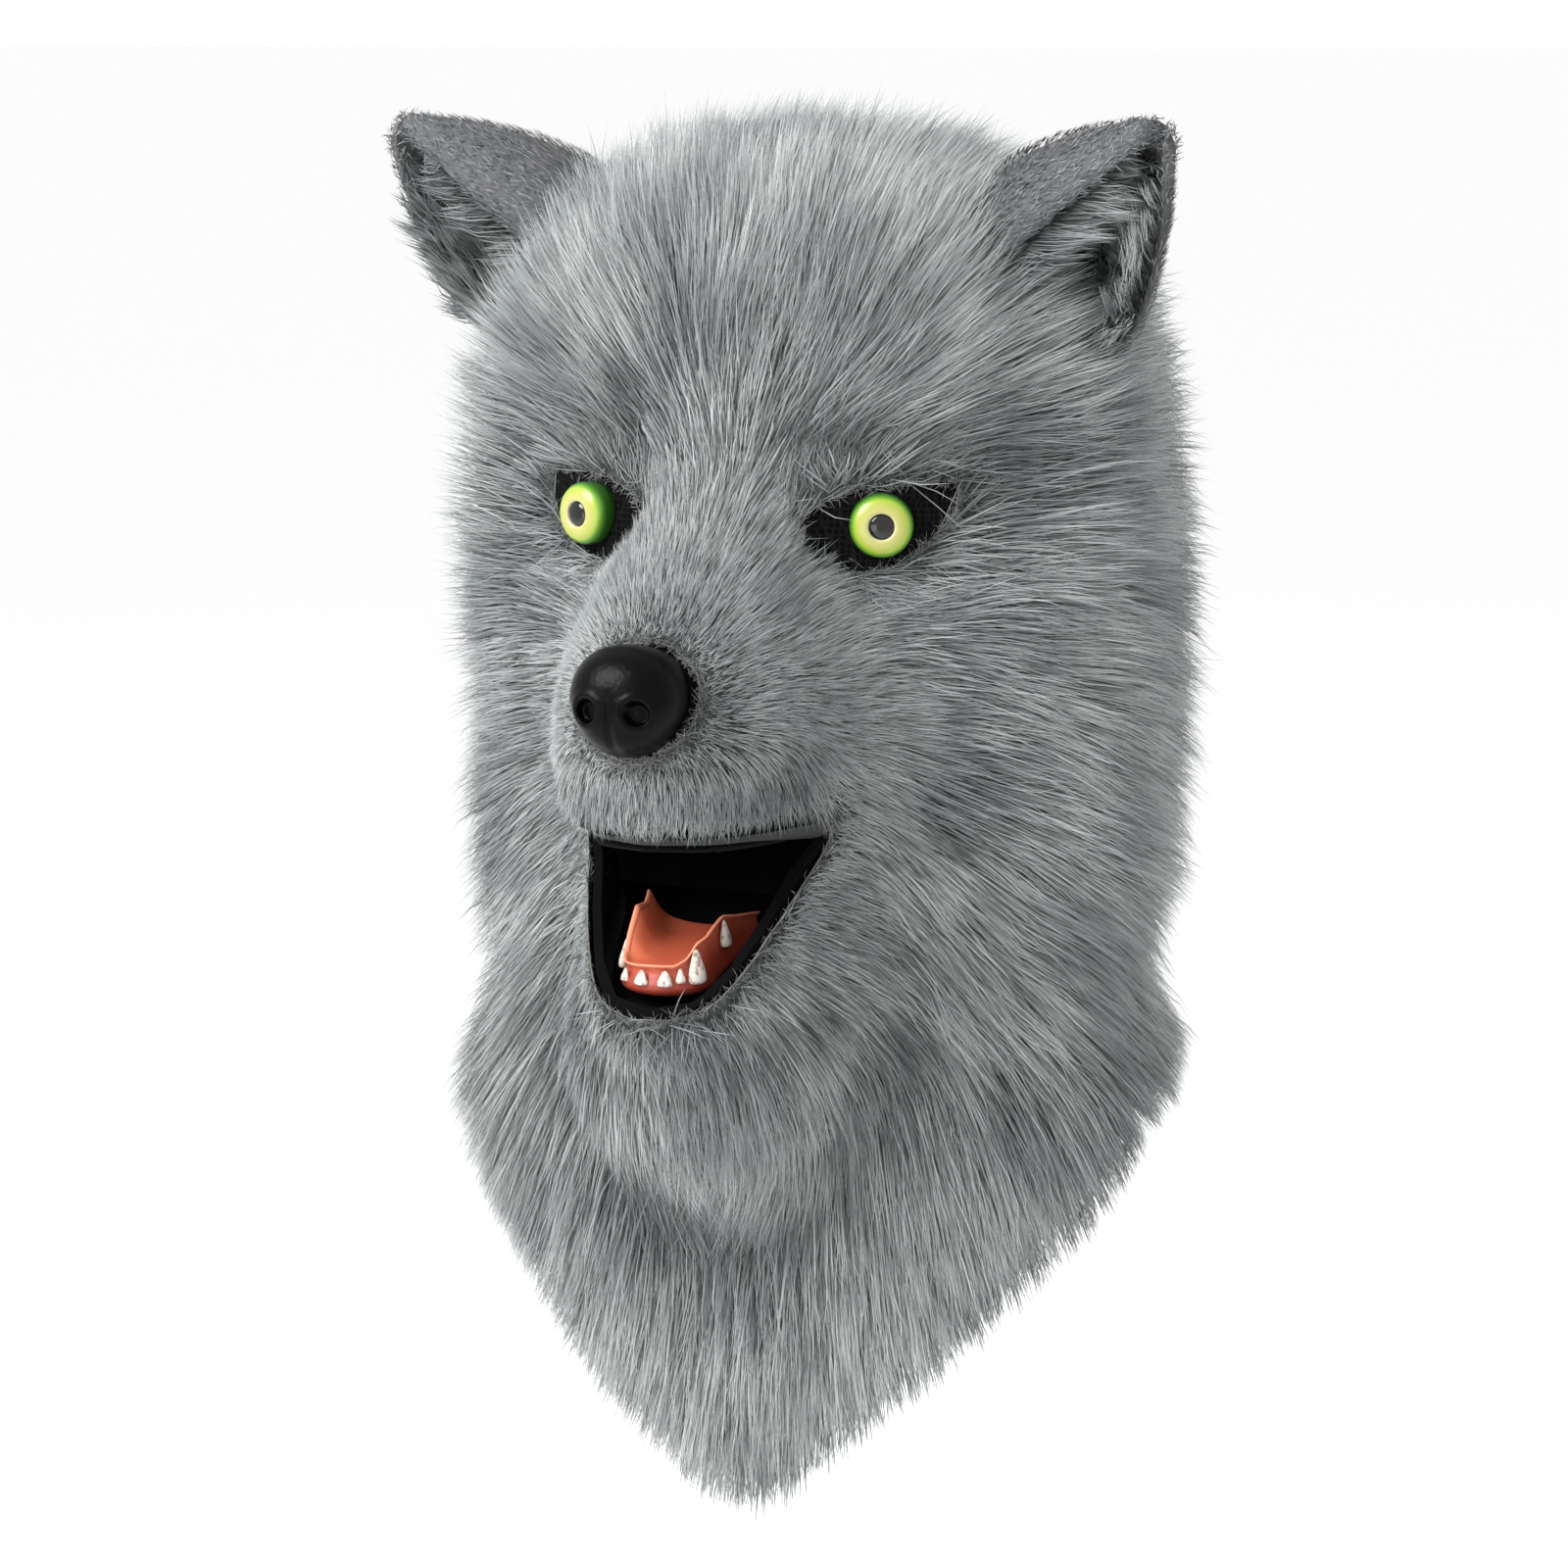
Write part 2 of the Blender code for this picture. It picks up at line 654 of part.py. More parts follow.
def ear_tuft(side_name, side):
    """The longer pile inside the cup: a thin layer on the ear's inside, with locks that lean
    towards the tip."""
    bm = ear_sheet(side, slice(6, -1), slice(1, -1))
    bm.normal_update()
    lift = EAR_THICKNESS / 2 + GAP
    normals = [v.normal.copy() for v in bm.verts]
    front = list(bm.faces)
    for vert, normal in zip(list(bm.verts), normals):
        vert.co += normal * lift
    behind = {vert: bm.verts.new(vert.co) for vert in list(bm.verts)}
    for vert, normal in zip(list(behind), normals):
        vert.co += normal * TUFT_THICKNESS
    edges = [e for e in bm.edges if len(e.link_faces) == 1]
    for face in front:
        bm.faces.new([behind[v] for v in reversed(face.verts)])
    for edge in edges:
        a, b = edge.verts
        bm.faces.new((a, b, behind[b], behind[a]))
    bmesh.ops.recalc_face_normals(bm, faces=bm.faces)
    tip_side = Vector((side * EAR_TIP.x, EAR_TIP.y, EAR_TIP.z))
    for face in front:
        normal = face.normal.copy()
        tip = bmesh.ops.poke(bm, faces=[face], center_mode="MEAN_WEIGHTED")["verts"][0]
        tip.co += normal * TUFT_LOCK + (tip_side - tip.co).normalized() * TUFT_LOCK
    add_object(f"ear_tuft_{side_name}", bm, parts, fur)


def nose_place():
    return Matrix.Translation((0, MUZZLE_TIP_Y, NOSE_Z)) @ Matrix.Rotation(NOSE_TILT, 4, "X")


def nose():
    """The moulded nose: rounded on top, drawn in below, with a shallow pit at each nostril."""
    bm = bmesh.new()
    bmesh.ops.create_uvsphere(bm, u_segments=14, v_segments=9, radius=1.0)
    half = (NOSE_WIDTH / 2, NOSE_DEPTH / 2, NOSE_HEIGHT / 2)
    for vert in bm.verts:
        narrow = 1 - NOSE_NARROW * max(-vert.co.z, 0)
        for k, (at, power) in enumerate(zip(vert.co.copy(), NOSE_POWERS)):
            vert.co[k] = math.copysign(abs(at) ** power, at) * half[k]
        vert.co.x *= narrow
    place = nose_place()
    bmesh.ops.transform(bm, matrix=place, verts=bm.verts)
    made = add_object("nose", bm, parts, gloss)
    for side in (-1, 1):
        pit = bmesh.new()
        spot = place @ Matrix.Translation((side * NOSTRIL_OUT, -NOSE_DEPTH / 2, -NOSTRIL_DOWN))
        spot = spot @ Matrix.Rotation(math.radians(90), 4, "X")
        bmesh.ops.create_cone(
            pit,
            cap_ends=True,
            segments=14,
            radius1=NOSTRIL_RADIUS,
            radius2=NOSTRIL_RADIUS,
            depth=2 * NOSTRIL_DEPTH,
            matrix=spot,
        )
        boolean(made, add_object(f"nostril_{side}", pit, cutters), "DIFFERENCE")
    boolean(made, head_core, "DIFFERENCE")


def nose_slot():
    """The hole in the fur that the nose stands in."""
    bm = bmesh.new()
    bmesh.ops.create_uvsphere(bm, u_segments=14, v_segments=9, radius=1.0)
    size = Matrix.Diagonal((NOSE_WIDTH / 2 + LOOSE, 1.5 * NOSE_DEPTH, NOSE_HEIGHT / 2 + LOOSE, 1))
    bmesh.ops.transform(bm, matrix=nose_place() @ size, verts=bm.verts)
    return add_object("nose_slot", bm, cutters)


def mouth_sheet(name, rows, level, material):
    """A sheet inside the muzzle, a half disc of rings that shrink towards the middle of its back
    edge. rows gives each ring's share of the way to the wall, and its rise."""
    middle_z = level(MOUTH_CORNER_Y)
    turns = np.linspace(-1, 1, PAN_COLUMNS)
    limit = half_turn_at(PAN_BACK_Y, middle_z)
    inset = BACKING + GAP + PAN_THICKNESS / 2
    back = Vector((0, PAN_BACK_Y, level(PAN_BACK_Y)))
    bm = bmesh.new()
    centre = bm.verts.new(back)
    last = None
    for share, rise in rows:
        ring = []
        for turn in turns * limit:
            first = backing_point(np.array([turn]), np.array([middle_z]))[0]
            z = level(first[1])
            wall = wall_point(turn, z, inset)
            spot = Vector(back).lerp(Vector((wall[0], wall[1], z)), share)
            ring.append(bm.verts.new(spot + Vector((0, 0, rise))))
        for k in range(len(ring) - 1):
            if last:
                bm.faces.new((last[k], ring[k], ring[k + 1], last[k + 1]))
            else:
                bm.faces.new((centre, ring[k], ring[k + 1]))
        last = ring
    made = add_object(name, bm, parts, material)
    thicken(made, PAN_THICKNESS)
    boolean(made, hollow_core, "INTERSECT")
    return made


def half_turn_at(y, z):
    """The turn at which the section at a height comes back to y."""
    turn = np.linspace(0.05, 1.5, 300)
    return float(np.interp(y, backing_point(turn, np.full_like(turn, z))[:, 1], turn))


def wall_point(turn, z, inset):
    """A point of the section at a height, moved in square to the wall."""
    ends = backing_point(np.array([turn - 0.01, turn, turn + 0.01]), np.full(3, z))
    along = ends[2] - ends[0]
    inward = np.array((-along[1], along[0], 0)) / math.hypot(along[0], along[1])
    return ends[1] + inward * inset


def jaw_level(y):
    return JAW_RIM_Z - PAN_DROP + (y - JAW_RIM_Y) * JAW_SLOPE


def roof_level(y):
    return LIP_Z + PAN_THICKNESS + 0 * y


def liner_point(turn, out, up):
    """A point of the gum liner. turn is from its front; out and up as in LINER_PROFILE."""
    x = LINER_HALF_WIDTH * math.copysign(abs(math.sin(turn)) ** 0.75, turn) * out
    y = LINER_BACK_Y - LINER_LENGTH * math.cos(turn) ** 0.8 * out
    scallop = LINER_DEPTH * LINER_SCALLOP * math.cos(turn * 6) * out
    z = jaw_level(y) + PAN_THICKNESS + LINER_DEPTH * (LINER_RISE + up) + scallop
    return Vector((x, y, z))


def liner_sheet():
    """The gum liner's scalloped boat of moulded sheet, open at its back."""
    bm = bmesh.new()
    turns = np.linspace(-math.pi / 2, math.pi / 2, LINER_COLUMNS)
    centre = bm.verts.new(liner_point(0.0, *LINER_PROFILE[0]))
    last = None
    for out, up in LINER_PROFILE[1:]:
        ring = [bm.verts.new(liner_point(turn, out, up)) for turn in turns]
        for k in range(len(ring) - 1):
            if last:
                bm.faces.new((last[k], ring[k], ring[k + 1], last[k + 1]))
            else:
                bm.faces.new((centre, ring[k], ring[k + 1]))
        last = ring
    return bm


def jaw_liner():
    """The liner, and the space that the teeth are trimmed to."""
    thicken(add_object("jaw_liner", liner_sheet(), parts, gum), LINER_THICKNESS)
    space = add_object("liner_space", liner_sheet(), cutters)
    thicken(space, LINER_THICKNESS + 2 * GAP)
    return space


def tooth(name, turn, height, girth, space):
    """A blunt tooth that stands on the liner's crest."""
    seat = liner_point(turn, TOOTH_SEAT, 0.0)
    bm = bmesh.new()
    tall = TOOTH_HEIGHT * height
    bmesh.ops.create_cone(
        bm,
        cap_ends=True,
        segments=8,
        radius1=TOOTH_RADIUS * girth,
        radius2=TOOTH_RADIUS * girth * TOOTH_TIP,
        depth=tall,
    )
    made = add_object(name, bm, parts, enamel)
    made.location = seat + Vector((0, 0, tall / 2))
    boolean(made, space, "DIFFERENCE")
    bpy.context.view_layer.update()
    keep_main_body(made)


for old in list(bpy.data.objects):
    bpy.data.objects.remove(old, do_unlink=True)

parts = make_collection("werewolf_mask")
cutters = make_collection("cutters")
fur = make_material("fur", 0.75)
pile = make_material("pile", 0.85)
cloth = make_material("black_cloth", 0.8)
gloss = make_material("black_gloss", 0.3)
green = make_material("eye_green", 0.25)
pupil_black = make_material("pupil_black", 0.15)
gum = make_material("gum", 0.45)
enamel = make_material("tooth", 0.35)

GRID, OUT = backing_grid()
head_core = core("head_core", GAP)
socket_core = core("socket_core", SOCKET_THICKNESS + 2 * GAP)
hollow_core = core("hollow_core", -BACKING - GAP)

lining = hood_lining()
coat = hood_fur()
boolean(lining, mouth_cutter("mouth_in_backing", 0.0), "DIFFERENCE")
boolean(coat, mouth_cutter("mouth_in_fur", FUR_SETBACK, LIP_SHOWN), "DIFFERENCE")
boolean(coat, nose_slot(), "DIFFERENCE")
nose()
for side_name, side in (("left", -1), ("right", 1)):
    boolean(lining, eye_cutter(f"eye_hole_{side_name}", side, -SOCKET_SEAT), "DIFFERENCE")
    boolean(coat, eye_cutter(f"eye_opening_{side_name}", side, 0.0), "DIFFERENCE")
    boolean(coat, ear(side_name, side), "DIFFERENCE")
    ear_tuft(side_name, side)
    eye_socket(side_name, side)
    eye(side_name, side)
mouth_sheet("palate", ROOF_RINGS, roof_level, cloth)
mouth_sheet("jaw_shell", JAW_RINGS, jaw_level, cloth)
liner_space = jaw_liner()
for side_name, side in (("left", -1), ("right", 1)):
    for tooth_name, turn, height, girth in TEETH:
        tooth(f"tooth_{tooth_name}_{side_name}", side * math.radians(turn), height, girth, liner_space)
keep_main_body(coat)
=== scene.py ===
"""A full-head werewolf mask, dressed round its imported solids: long grey pile fur over a black backing,
short-pile ears, painted eyes, a moulded nose and an open mouth with a gum liner."""

import math

import bmesh
import bpy
import numpy as np
from mathutils import Matrix, Vector, noise
from mathutils.bvhtree import BVHTree
from mathutils.kdtree import KDTree


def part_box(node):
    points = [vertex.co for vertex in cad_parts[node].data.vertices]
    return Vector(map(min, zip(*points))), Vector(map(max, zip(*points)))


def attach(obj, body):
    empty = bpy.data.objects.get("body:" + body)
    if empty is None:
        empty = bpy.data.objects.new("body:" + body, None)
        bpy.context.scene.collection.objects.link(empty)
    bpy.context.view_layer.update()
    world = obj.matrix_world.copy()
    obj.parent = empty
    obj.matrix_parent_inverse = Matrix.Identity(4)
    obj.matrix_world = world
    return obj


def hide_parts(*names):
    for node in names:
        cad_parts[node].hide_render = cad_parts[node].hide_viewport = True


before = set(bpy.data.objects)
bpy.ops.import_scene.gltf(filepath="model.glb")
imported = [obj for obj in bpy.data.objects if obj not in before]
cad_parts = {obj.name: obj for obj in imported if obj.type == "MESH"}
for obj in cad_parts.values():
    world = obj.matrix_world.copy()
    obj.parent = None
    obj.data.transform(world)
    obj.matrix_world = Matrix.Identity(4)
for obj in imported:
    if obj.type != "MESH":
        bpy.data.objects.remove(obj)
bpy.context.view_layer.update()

# The backing: black knitted cloth on a thin foam, sewn as a hood with a muzzle. It shows at the neck,
# in the mouth and behind the eyes, so it keeps its solid and gets a knitted finish.
BACKING_BLACK = "#0a0a0b"
KNIT_PITCH = 0.0012


def linear(hex_colour):
    """An sRGB hex colour as linear red, green, blue and alpha."""
    values = [int(hex_colour[k : k + 2], 16) / 255 for k in (1, 3, 5)]
    return [v / 12.92 if v <= 0.04045 else ((v + 0.055) / 1.055) ** 2.4 for v in values] + [1.0]


def new_material(name, colour, roughness, **sockets):
    """A material named for its real finish, its Principled shader set."""
    made = bpy.data.materials.new(name)
    made.use_nodes = True
    shader = made.node_tree.nodes["Principled BSDF"]
    shader.inputs["Base Color"].default_value = linear(colour)
    shader.inputs["Roughness"].default_value = roughness
    for socket, value in sockets.items():
        shader.inputs[socket.replace("_", " ")].default_value = value
    return made


def add_node(material, kind, links=(), settings=(), inputs=()):
    """Adds a node: settings are attributes, inputs are socket values, and links join
    (this node's input, other node, its output)."""
    tree = material.node_tree
    node = tree.nodes.new(kind)
    for name, value in settings:
        setattr(node, name, value)
    for name, value in inputs:
        node.inputs[name].default_value = value
    for socket, other, output in links:
        tree.links.new(other.outputs[output], node.inputs[socket])
    return node


def feed(material, socket, node, output):
    """Links a node's output to a socket of the material's shader."""
    shader = material.node_tree.nodes["Principled BSDF"]
    material.node_tree.links.new(node.outputs[output], shader.inputs[socket])


def add_bump(material, height_node, output, strength, distance):
    bump = add_node(
        material,
        "ShaderNodeBump",
        links=[("Height", height_node, output)],
        inputs=[("Strength", strength), ("Distance", distance)],
    )
    feed(material, "Normal", bump, "Normal")


def ramp(node, stops):
    """Sets a colour ramp's stops: (place, hex colour)."""
    band = node.color_ramp
    while len(band.elements) > 1:
        band.elements.remove(band.elements[-1])
    band.elements[0].position = stops[0][0]
    band.elements[0].color = linear(stops[0][1])
    for place, colour in stops[1:]:
        band.elements.new(place).color = linear(colour)


# Knitted polyester: matte, near black, with a fine stitch relief.
knit = new_material("knitted_polyester_backing", BACKING_BLACK, 0.95, Specular_IOR_Level=0.05)
place = add_node(knit, "ShaderNodeTexCoord")
stitches = add_node(
    knit,
    "ShaderNodeTexVoronoi",
    links=[("Vector", place, "Object")],
    inputs=[("Scale", 1 / KNIT_PITCH), ("Randomness", 0.35)],
)
add_bump(knit, stitches, "Distance", 0.4, 0.0003)


def dress_node(name, material):
    """Gives a CAD node that stays in view its material."""
    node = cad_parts[name]
    node.data.materials.clear()
    node.data.materials.append(material)


dress_node("hood_lining", knit)

# The eye sockets: black mesh cloth glued behind the cut openings, open weave at the inner corner so that
# the wearer sees through it, and closed felt towards the temple; both get the one black mesh finish
# here.
SIDES = {"left": -1, "right": 1}
SOCKET_BLACK = "#050505"
MESH_PITCH = 0.0021

mesh_cloth = new_material("black_eye_mesh", SOCKET_BLACK, 0.9, Specular_IOR_Level=0.04)
place = add_node(mesh_cloth, "ShaderNodeTexCoord")
cells = add_node(
    mesh_cloth,
    "ShaderNodeTexVoronoi",
    links=[("Vector", place, "Object")],
    settings=[("feature", "DISTANCE_TO_EDGE")],
    inputs=[("Scale", 1 / MESH_PITCH), ("Randomness", 0.25)],
)
threads = add_node(mesh_cloth, "ShaderNodeValToRGB", links=[("Fac", cells, "Distance")])
ramp(threads, [(0.0, "#161617"), (0.14, "#070707"), (1.0, "#030303")])
feed(mesh_cloth, "Base Color", threads, "Color")
add_bump(mesh_cloth, cells, "Distance", 0.5, 0.0006)
for side in SIDES:
    dress_node(f"socket_{side}", mesh_cloth)

# The eyes: domes of moulded resin on the mesh, painted green at the rim and running to cream at the
# middle, each with a black glass-like pupil set in its hole.
EYE_YAW = math.radians(21.0)
EYE_RADIUS = 0.0105
EYE_BED = -0.004
EYE_SIDE = 0.0004
DOME_EDGE = 0.0012
DOME_RISE = 0.0052
HOLE_EDGE = 0.0046
HOLE_FLOOR = 0.0046
HOLE_TOP = 0.0058
PUPIL_RADIUS = 0.0041
PUPIL_PROUD = 0.0059
LENS_BED = 0.0048
LENS_EDGE = 0.0054
LENS_RISE = 0.0013


def eye_frame(side):
    """The eye's own frame at its base, local Z looking out, from the CAD pupil's place."""
    low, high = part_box(f"pupil_{side}")
    look = Vector((SIDES[side] * math.sin(EYE_YAW), -math.cos(EYE_YAW), 0))
    base = (low + high) / 2 - look * PUPIL_PROUD
    return Matrix.Translation(base) @ look.to_track_quat("Z", "Y").to_matrix().to_4x4()


def add_piece(name, bm, material, replaced=()):
    """A finished piece from a bmesh, riding on the one body and standing for its CAD nodes."""
    mesh = bpy.data.meshes.new(name)
    bm.to_mesh(mesh)
    bm.free()
    piece = bpy.data.objects.new(name, mesh)
    bpy.context.scene.collection.objects.link(piece)
    mesh.materials.append(material)
    mesh.polygons.foreach_set("use_smooth", [True] * len(mesh.polygons))
    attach(piece, "root")
    if replaced:
        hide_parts(*replaced)
    return piece


def spin_profile(profile, steps):
    """A closed turned shape from (radius, height) pairs that start and end on the axis."""
    bm = bmesh.new()
    verts = [bm.verts.new((r, 0, z)) for r, z in profile]
    for a, b in zip(verts, verts[1:]):
        bm.edges.new((a, b))
    bmesh.ops.spin(
        bm,
        geom=bm.verts[:] + bm.edges[:],
        axis=(0, 0, 1),
        cent=(0, 0, 0),
        steps=steps,
        angle=2 * math.pi,
        use_merge=True,
    )
    bmesh.ops.remove_doubles(bm, verts=bm.verts, dist=1e-6)
    bmesh.ops.recalc_face_normals(bm, faces=bm.faces)
    return bm


def lay_radial_uv(bm, radius):
    """A UV map with u the share of the radius, and v the turn."""
    layer = bm.loops.layers.uv.new("radial")
    for face in bm.faces:
        for loop in face.loops:
            x, y, _ = loop.vert.co
            loop[layer].uv = (math.hypot(x, y) / radius, math.atan2(y, x) / (2 * math.pi) + 0.5)


# Painted resin under clear lacquer: bright green at the rim, yellow-green, then cream.
iris = new_material("painted_resin_iris", "#8fd42a", 0.35, Coat_Weight=0.3, Coat_Roughness=0.15)
radial = add_node(iris, "ShaderNodeUVMap", settings=[("uv_map", "radial")])
split = add_node(iris, "ShaderNodeSeparateXYZ", links=[("Vector", radial, "UV")])
rings = add_node(iris, "ShaderNodeValToRGB", links=[("Fac", split, "X")])
ramp(
    rings,
    [(0.0, "#c6c5a4"), (0.42, "#c6c49c"), (0.46, "#adab63"), (0.60, "#a8a859"), (0.72, "#a1a743"),
     (0.82, "#95ad2f"), (0.89, "#6f9a28"), (0.95, "#488020"), (1.0, "#2b5a16")],
)
feed(iris, "Base Color", rings, "Color")
# Black glass: polished, near black.
pupil_glass = new_material("polished_black_glass", "#050505", 0.05, Specular_IOR_Level=0.6)

for side in SIDES:
    stand = eye_frame(side)
    dome = [(0, HOLE_FLOOR), (PUPIL_RADIUS * 1.02, HOLE_FLOOR), (PUPIL_RADIUS * 1.04, HOLE_TOP)]
    for k in range(13):
        angle = math.radians(90 * k / 12)
        across = HOLE_EDGE + (EYE_RADIUS - HOLE_EDGE) * math.sin(angle)
        dome.append((across, DOME_EDGE + DOME_RISE * math.cos(angle) ** 0.8))
    dome += [(EYE_RADIUS, EYE_SIDE), (EYE_RADIUS, EYE_BED), (0, EYE_BED)]
    bm = spin_profile(dome, 64)
    lay_radial_uv(bm, EYE_RADIUS)
    bmesh.ops.transform(bm, matrix=stand, verts=bm.verts)
    add_piece(f"eye_dome_{side}", bm, iris, [f"eye_{side}"])
    lens = [(0, LENS_EDGE + LENS_RISE)]
    for k in range(1, 11):
        angle = math.radians(90 * k / 10)
        lens.append((PUPIL_RADIUS * math.sin(angle), LENS_EDGE + LENS_RISE * math.cos(angle)))
    lens += [(PUPIL_RADIUS, LENS_BED), (0, LENS_BED)]
    bm = spin_profile(lens, 48)
    bmesh.ops.transform(bm, matrix=stand, verts=bm.verts)
    add_piece(f"pupil_lens_{side}", bm, pupil_glass, [f"pupil_{side}"])

# The fur's ground: the knitted ground cloth of the pile fabric with its dense short underfur. It
# follows the backing, thin at the cut openings and deeper where the pile is long.
NOSE_LOW, NOSE_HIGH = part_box("nose")
NOSE_MIDDLE = (NOSE_LOW + NOSE_HIGH) / 2
MUZZLE_MIDDLE = np.array(NOSE_MIDDLE) + (0, 0.037, -0.019)
HOOD_DROP = 0.290
HEM_TOP = -0.262
FACE_BACK = -0.03
EAR_FOOT = -0.07
MERGE_GAP = 2e-5
BACKING_TOUCH = 0.0009
FUR_SHORT = 0.008
FUR_LONG = 0.033
GROUND_SHARE = 0.36
GROUND_EDGE = 0.0018
OPENING_FADE = 0.030
MOUTH_FLOOR = -0.25
MOUTH_ROOF = -0.165
MOUTH_FRONT = -0.11
CORNER_WAY = (0.55, 0.62, 0.56)
CORNER_PULL = 0.010
CORNER_REACH = 0.017


def smooth_step(values, start, end):
    share = np.clip((values - start) / (end - start), 0, 1)
    return share * share * (3 - 2 * share)


def merged_copy(name):
    """A bmesh copy of a CAD node with its loose triangles joined."""
    bm = bmesh.new()
    bm.from_mesh(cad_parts[name].data)
    bmesh.ops.remove_doubles(bm, verts=bm.verts, dist=MERGE_GAP)
    return bm


def bvh_of(name):
    bm = merged_copy(name)
    tree = BVHTree.FromBMesh(bm)
    bm.free()
    return tree


def fur_depth(points):
    """How far the fur stands out from the backing: short on the muzzle, deep on the head."""
    away = np.linalg.norm(points - MUZZLE_MIDDLE, axis=1)
    return FUR_SHORT + (FUR_LONG - FUR_SHORT) * smooth_step(away, 0.058, 0.164)


# The skin under the fur is the side of the CAD fur that lies on the backing.
skin = merged_copy("hood_fur")
lining_tree = bvh_of("hood_lining")
for_removal = []
for face in skin.faces:
    if any(lining_tree.find_nearest(v.co)[3] > BACKING_TOUCH for v in face.verts):
        for_removal.append(face)
bmesh.ops.delete(skin, geom=for_removal, context="FACES")
bmesh.ops.reverse_faces(skin, faces=skin.faces)
bmesh.ops.subdivide_edges(skin, edges=skin.edges, cuts=2, use_grid_fill=True)
bmesh.ops.triangulate(skin, faces=skin.faces)
for _ in range(6):
    bmesh.ops.smooth_vert(
        skin,
        verts=[v for v in skin.verts if not v.is_boundary],
        factor=0.5,
        use_axis_x=True,
        use_axis_y=True,
        use_axis_z=True,
    )
for _ in range(8):
    moved = {}
    for vert in skin.verts:
        ends = [e.other_vert(vert).co for e in vert.link_edges if e.is_boundary]
        if len(ends) == 2:
            moved[vert] = vert.co.lerp((ends[0] + ends[1]) / 2, 0.5)
    for vert, place_now in moved.items():
        vert.co = place_now
skin.normal_update()
rim_points = [v.co.copy() for v in skin.verts if v.is_boundary]
ear_boxes = [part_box(f"ear_{side}") for side in SIDES]


def near_ear(point):
    return any(
        low.x < point.x < high.x and low.y < point.y < high.y and low.z < point.z < high.z
        for low, high in ear_boxes
    )


def is_opening(point):
    """Whether a rim point is at an eye, the nose or the mouth, not at the hem or an ear."""
    in_front = point.y < FACE_BACK and point.z > HEM_TOP
    return in_front and not (near_ear(point) and point.z > EAR_FOOT)


def tree_of(points):
    tree = KDTree(len(points))
    for k, p in enumerate(points):
        tree.insert(p, k)
    tree.balance()
    return tree


def distance_to(tree, points):
    return np.array([tree.find(p)[2] for p in points])


# The mouth's corners are drawn in over the lip.
mouth_rim = np.array([
    p for p in rim_points
    if is_opening(p) and MOUTH_FLOOR < p.z < MOUTH_ROOF and p.y > MOUTH_FRONT
])
for sign in SIDES.values():
    side_rim = mouth_rim[mouth_rim[:, 0] * sign > 0.02]
    corner = Vector(side_rim[np.argmax(side_rim[:, 2] + side_rim[:, 1])])
    pull = Vector((-sign * CORNER_WAY[0], -CORNER_WAY[1], -CORNER_WAY[2])) * CORNER_PULL
    for vert in skin.verts:
        vert.co += pull * math.exp(-(((vert.co - corner).length / CORNER_REACH) ** 2))
skin.normal_update()
rim_points = [v.co.copy() for v in skin.verts if v.is_boundary]
opening_tree = tree_of([p for p in rim_points if is_opening(p)])
hem_tree = tree_of([p for p in rim_points if p.z < HEM_TOP])

# The ground stands off the backing by a share of the fur's depth, and runs thin at every cut edge.
skin.verts.ensure_lookup_table()
skin_points = np.array([v.co for v in skin.verts])
skin_outs = np.array([v.normal for v in skin.verts])
fade = smooth_step(distance_to(opening_tree, skin_points), 0.0, OPENING_FADE)
ground_depth = GROUND_EDGE + (GROUND_SHARE * fur_depth(skin_points) - GROUND_EDGE) * fade
ground_points = skin_points + skin_outs * ground_depth[:, None]
for vert, point in zip(skin.verts, ground_points):
    vert.co = point
skin.normal_update()
ground_outs = np.array([v.normal for v in skin.verts])
rim_keepers = [v.co.copy() for v in skin.verts if v.is_boundary and is_opening(v.co)]
ground_triangles = np.array([[v.index for v in f.verts] for f in skin.faces])

# Underfur: matted grey fibre with a soft uneven relief, darkened below the guard hairs' tone to paint
# the shade in the gaps between the hairs.
underfur = new_material("matted_underfur_painted_gap_shade", "#454848", 0.95, Specular_IOR_Level=0.1)
place = add_node(underfur, "ShaderNodeTexCoord")
mats = add_node(
    underfur,
    "ShaderNodeTexNoise",
    links=[("Vector", place, "Object")],
    inputs=[("Scale", 420.0), ("Detail", 3.0)],
)
# Dark matted greys: the fibre's own tone, deepened as painted shade between the hairs.
underfur_grey_and_gap_shade = add_node(underfur, "ShaderNodeValToRGB", links=[("Fac", mats, "Fac")])
ramp(underfur_grey_and_gap_shade, [(0.30, "#222424"), (0.55, "#3c3f3f"), (0.75, "#525656")])
feed(underfur, "Base Color", underfur_grey_and_gap_shade, "Color")
add_bump(underfur, mats, "Fac", 0.9, 0.002)
# Ground cloth: pale unbleached knit, seen only at cut edges.
ground_cloth = new_material("pale_knitted_ground_cloth", "#77766f", 0.95, Specular_IOR_Level=0.05)
ground = add_piece("fur_ground", skin, underfur, ["hood_fur"])
ground.data.materials.append(ground_cloth)
wall = ground.modifiers.new("ground_cloth", "SOLIDIFY")
wall.thickness = 0.0006
wall.offset = -1.0
wall.material_offset_rim = 1

# The pile: acrylic guard hairs, fixed in the ground cloth in tufts, that lie back from the nose and
# hang at the nape and on the bib. Each is a tapered ribbon; a cut of the fur is one piece.
HAIR_WIDTH = 0.00052
HEAD_HALF_WIDTH = 0.09
SEED = 4021
SWIRL_RATE = 38.0
SWIRL_SHARE = 0.34
EYE_TURN = (0.020, 0.040)
MOUTH_TURN = (0.045, 0.085)
LIP_EDGE = -0.187
LIP_COMB = (0.148, 0.172)
LIP_FRONT = (-0.125, -0.085)
EYE_SPOTS = [np.array(eye_frame(side).translation) for side in SIDES]
JAW_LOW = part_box("jaw_shell")[0]
MOUTH_MIDDLE = np.array((0, JAW_LOW.y, (JAW_LOW.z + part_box("palate")[0].z) / 2))
dice = np.random.default_rng(SEED)
noise.seed_set(SEED)


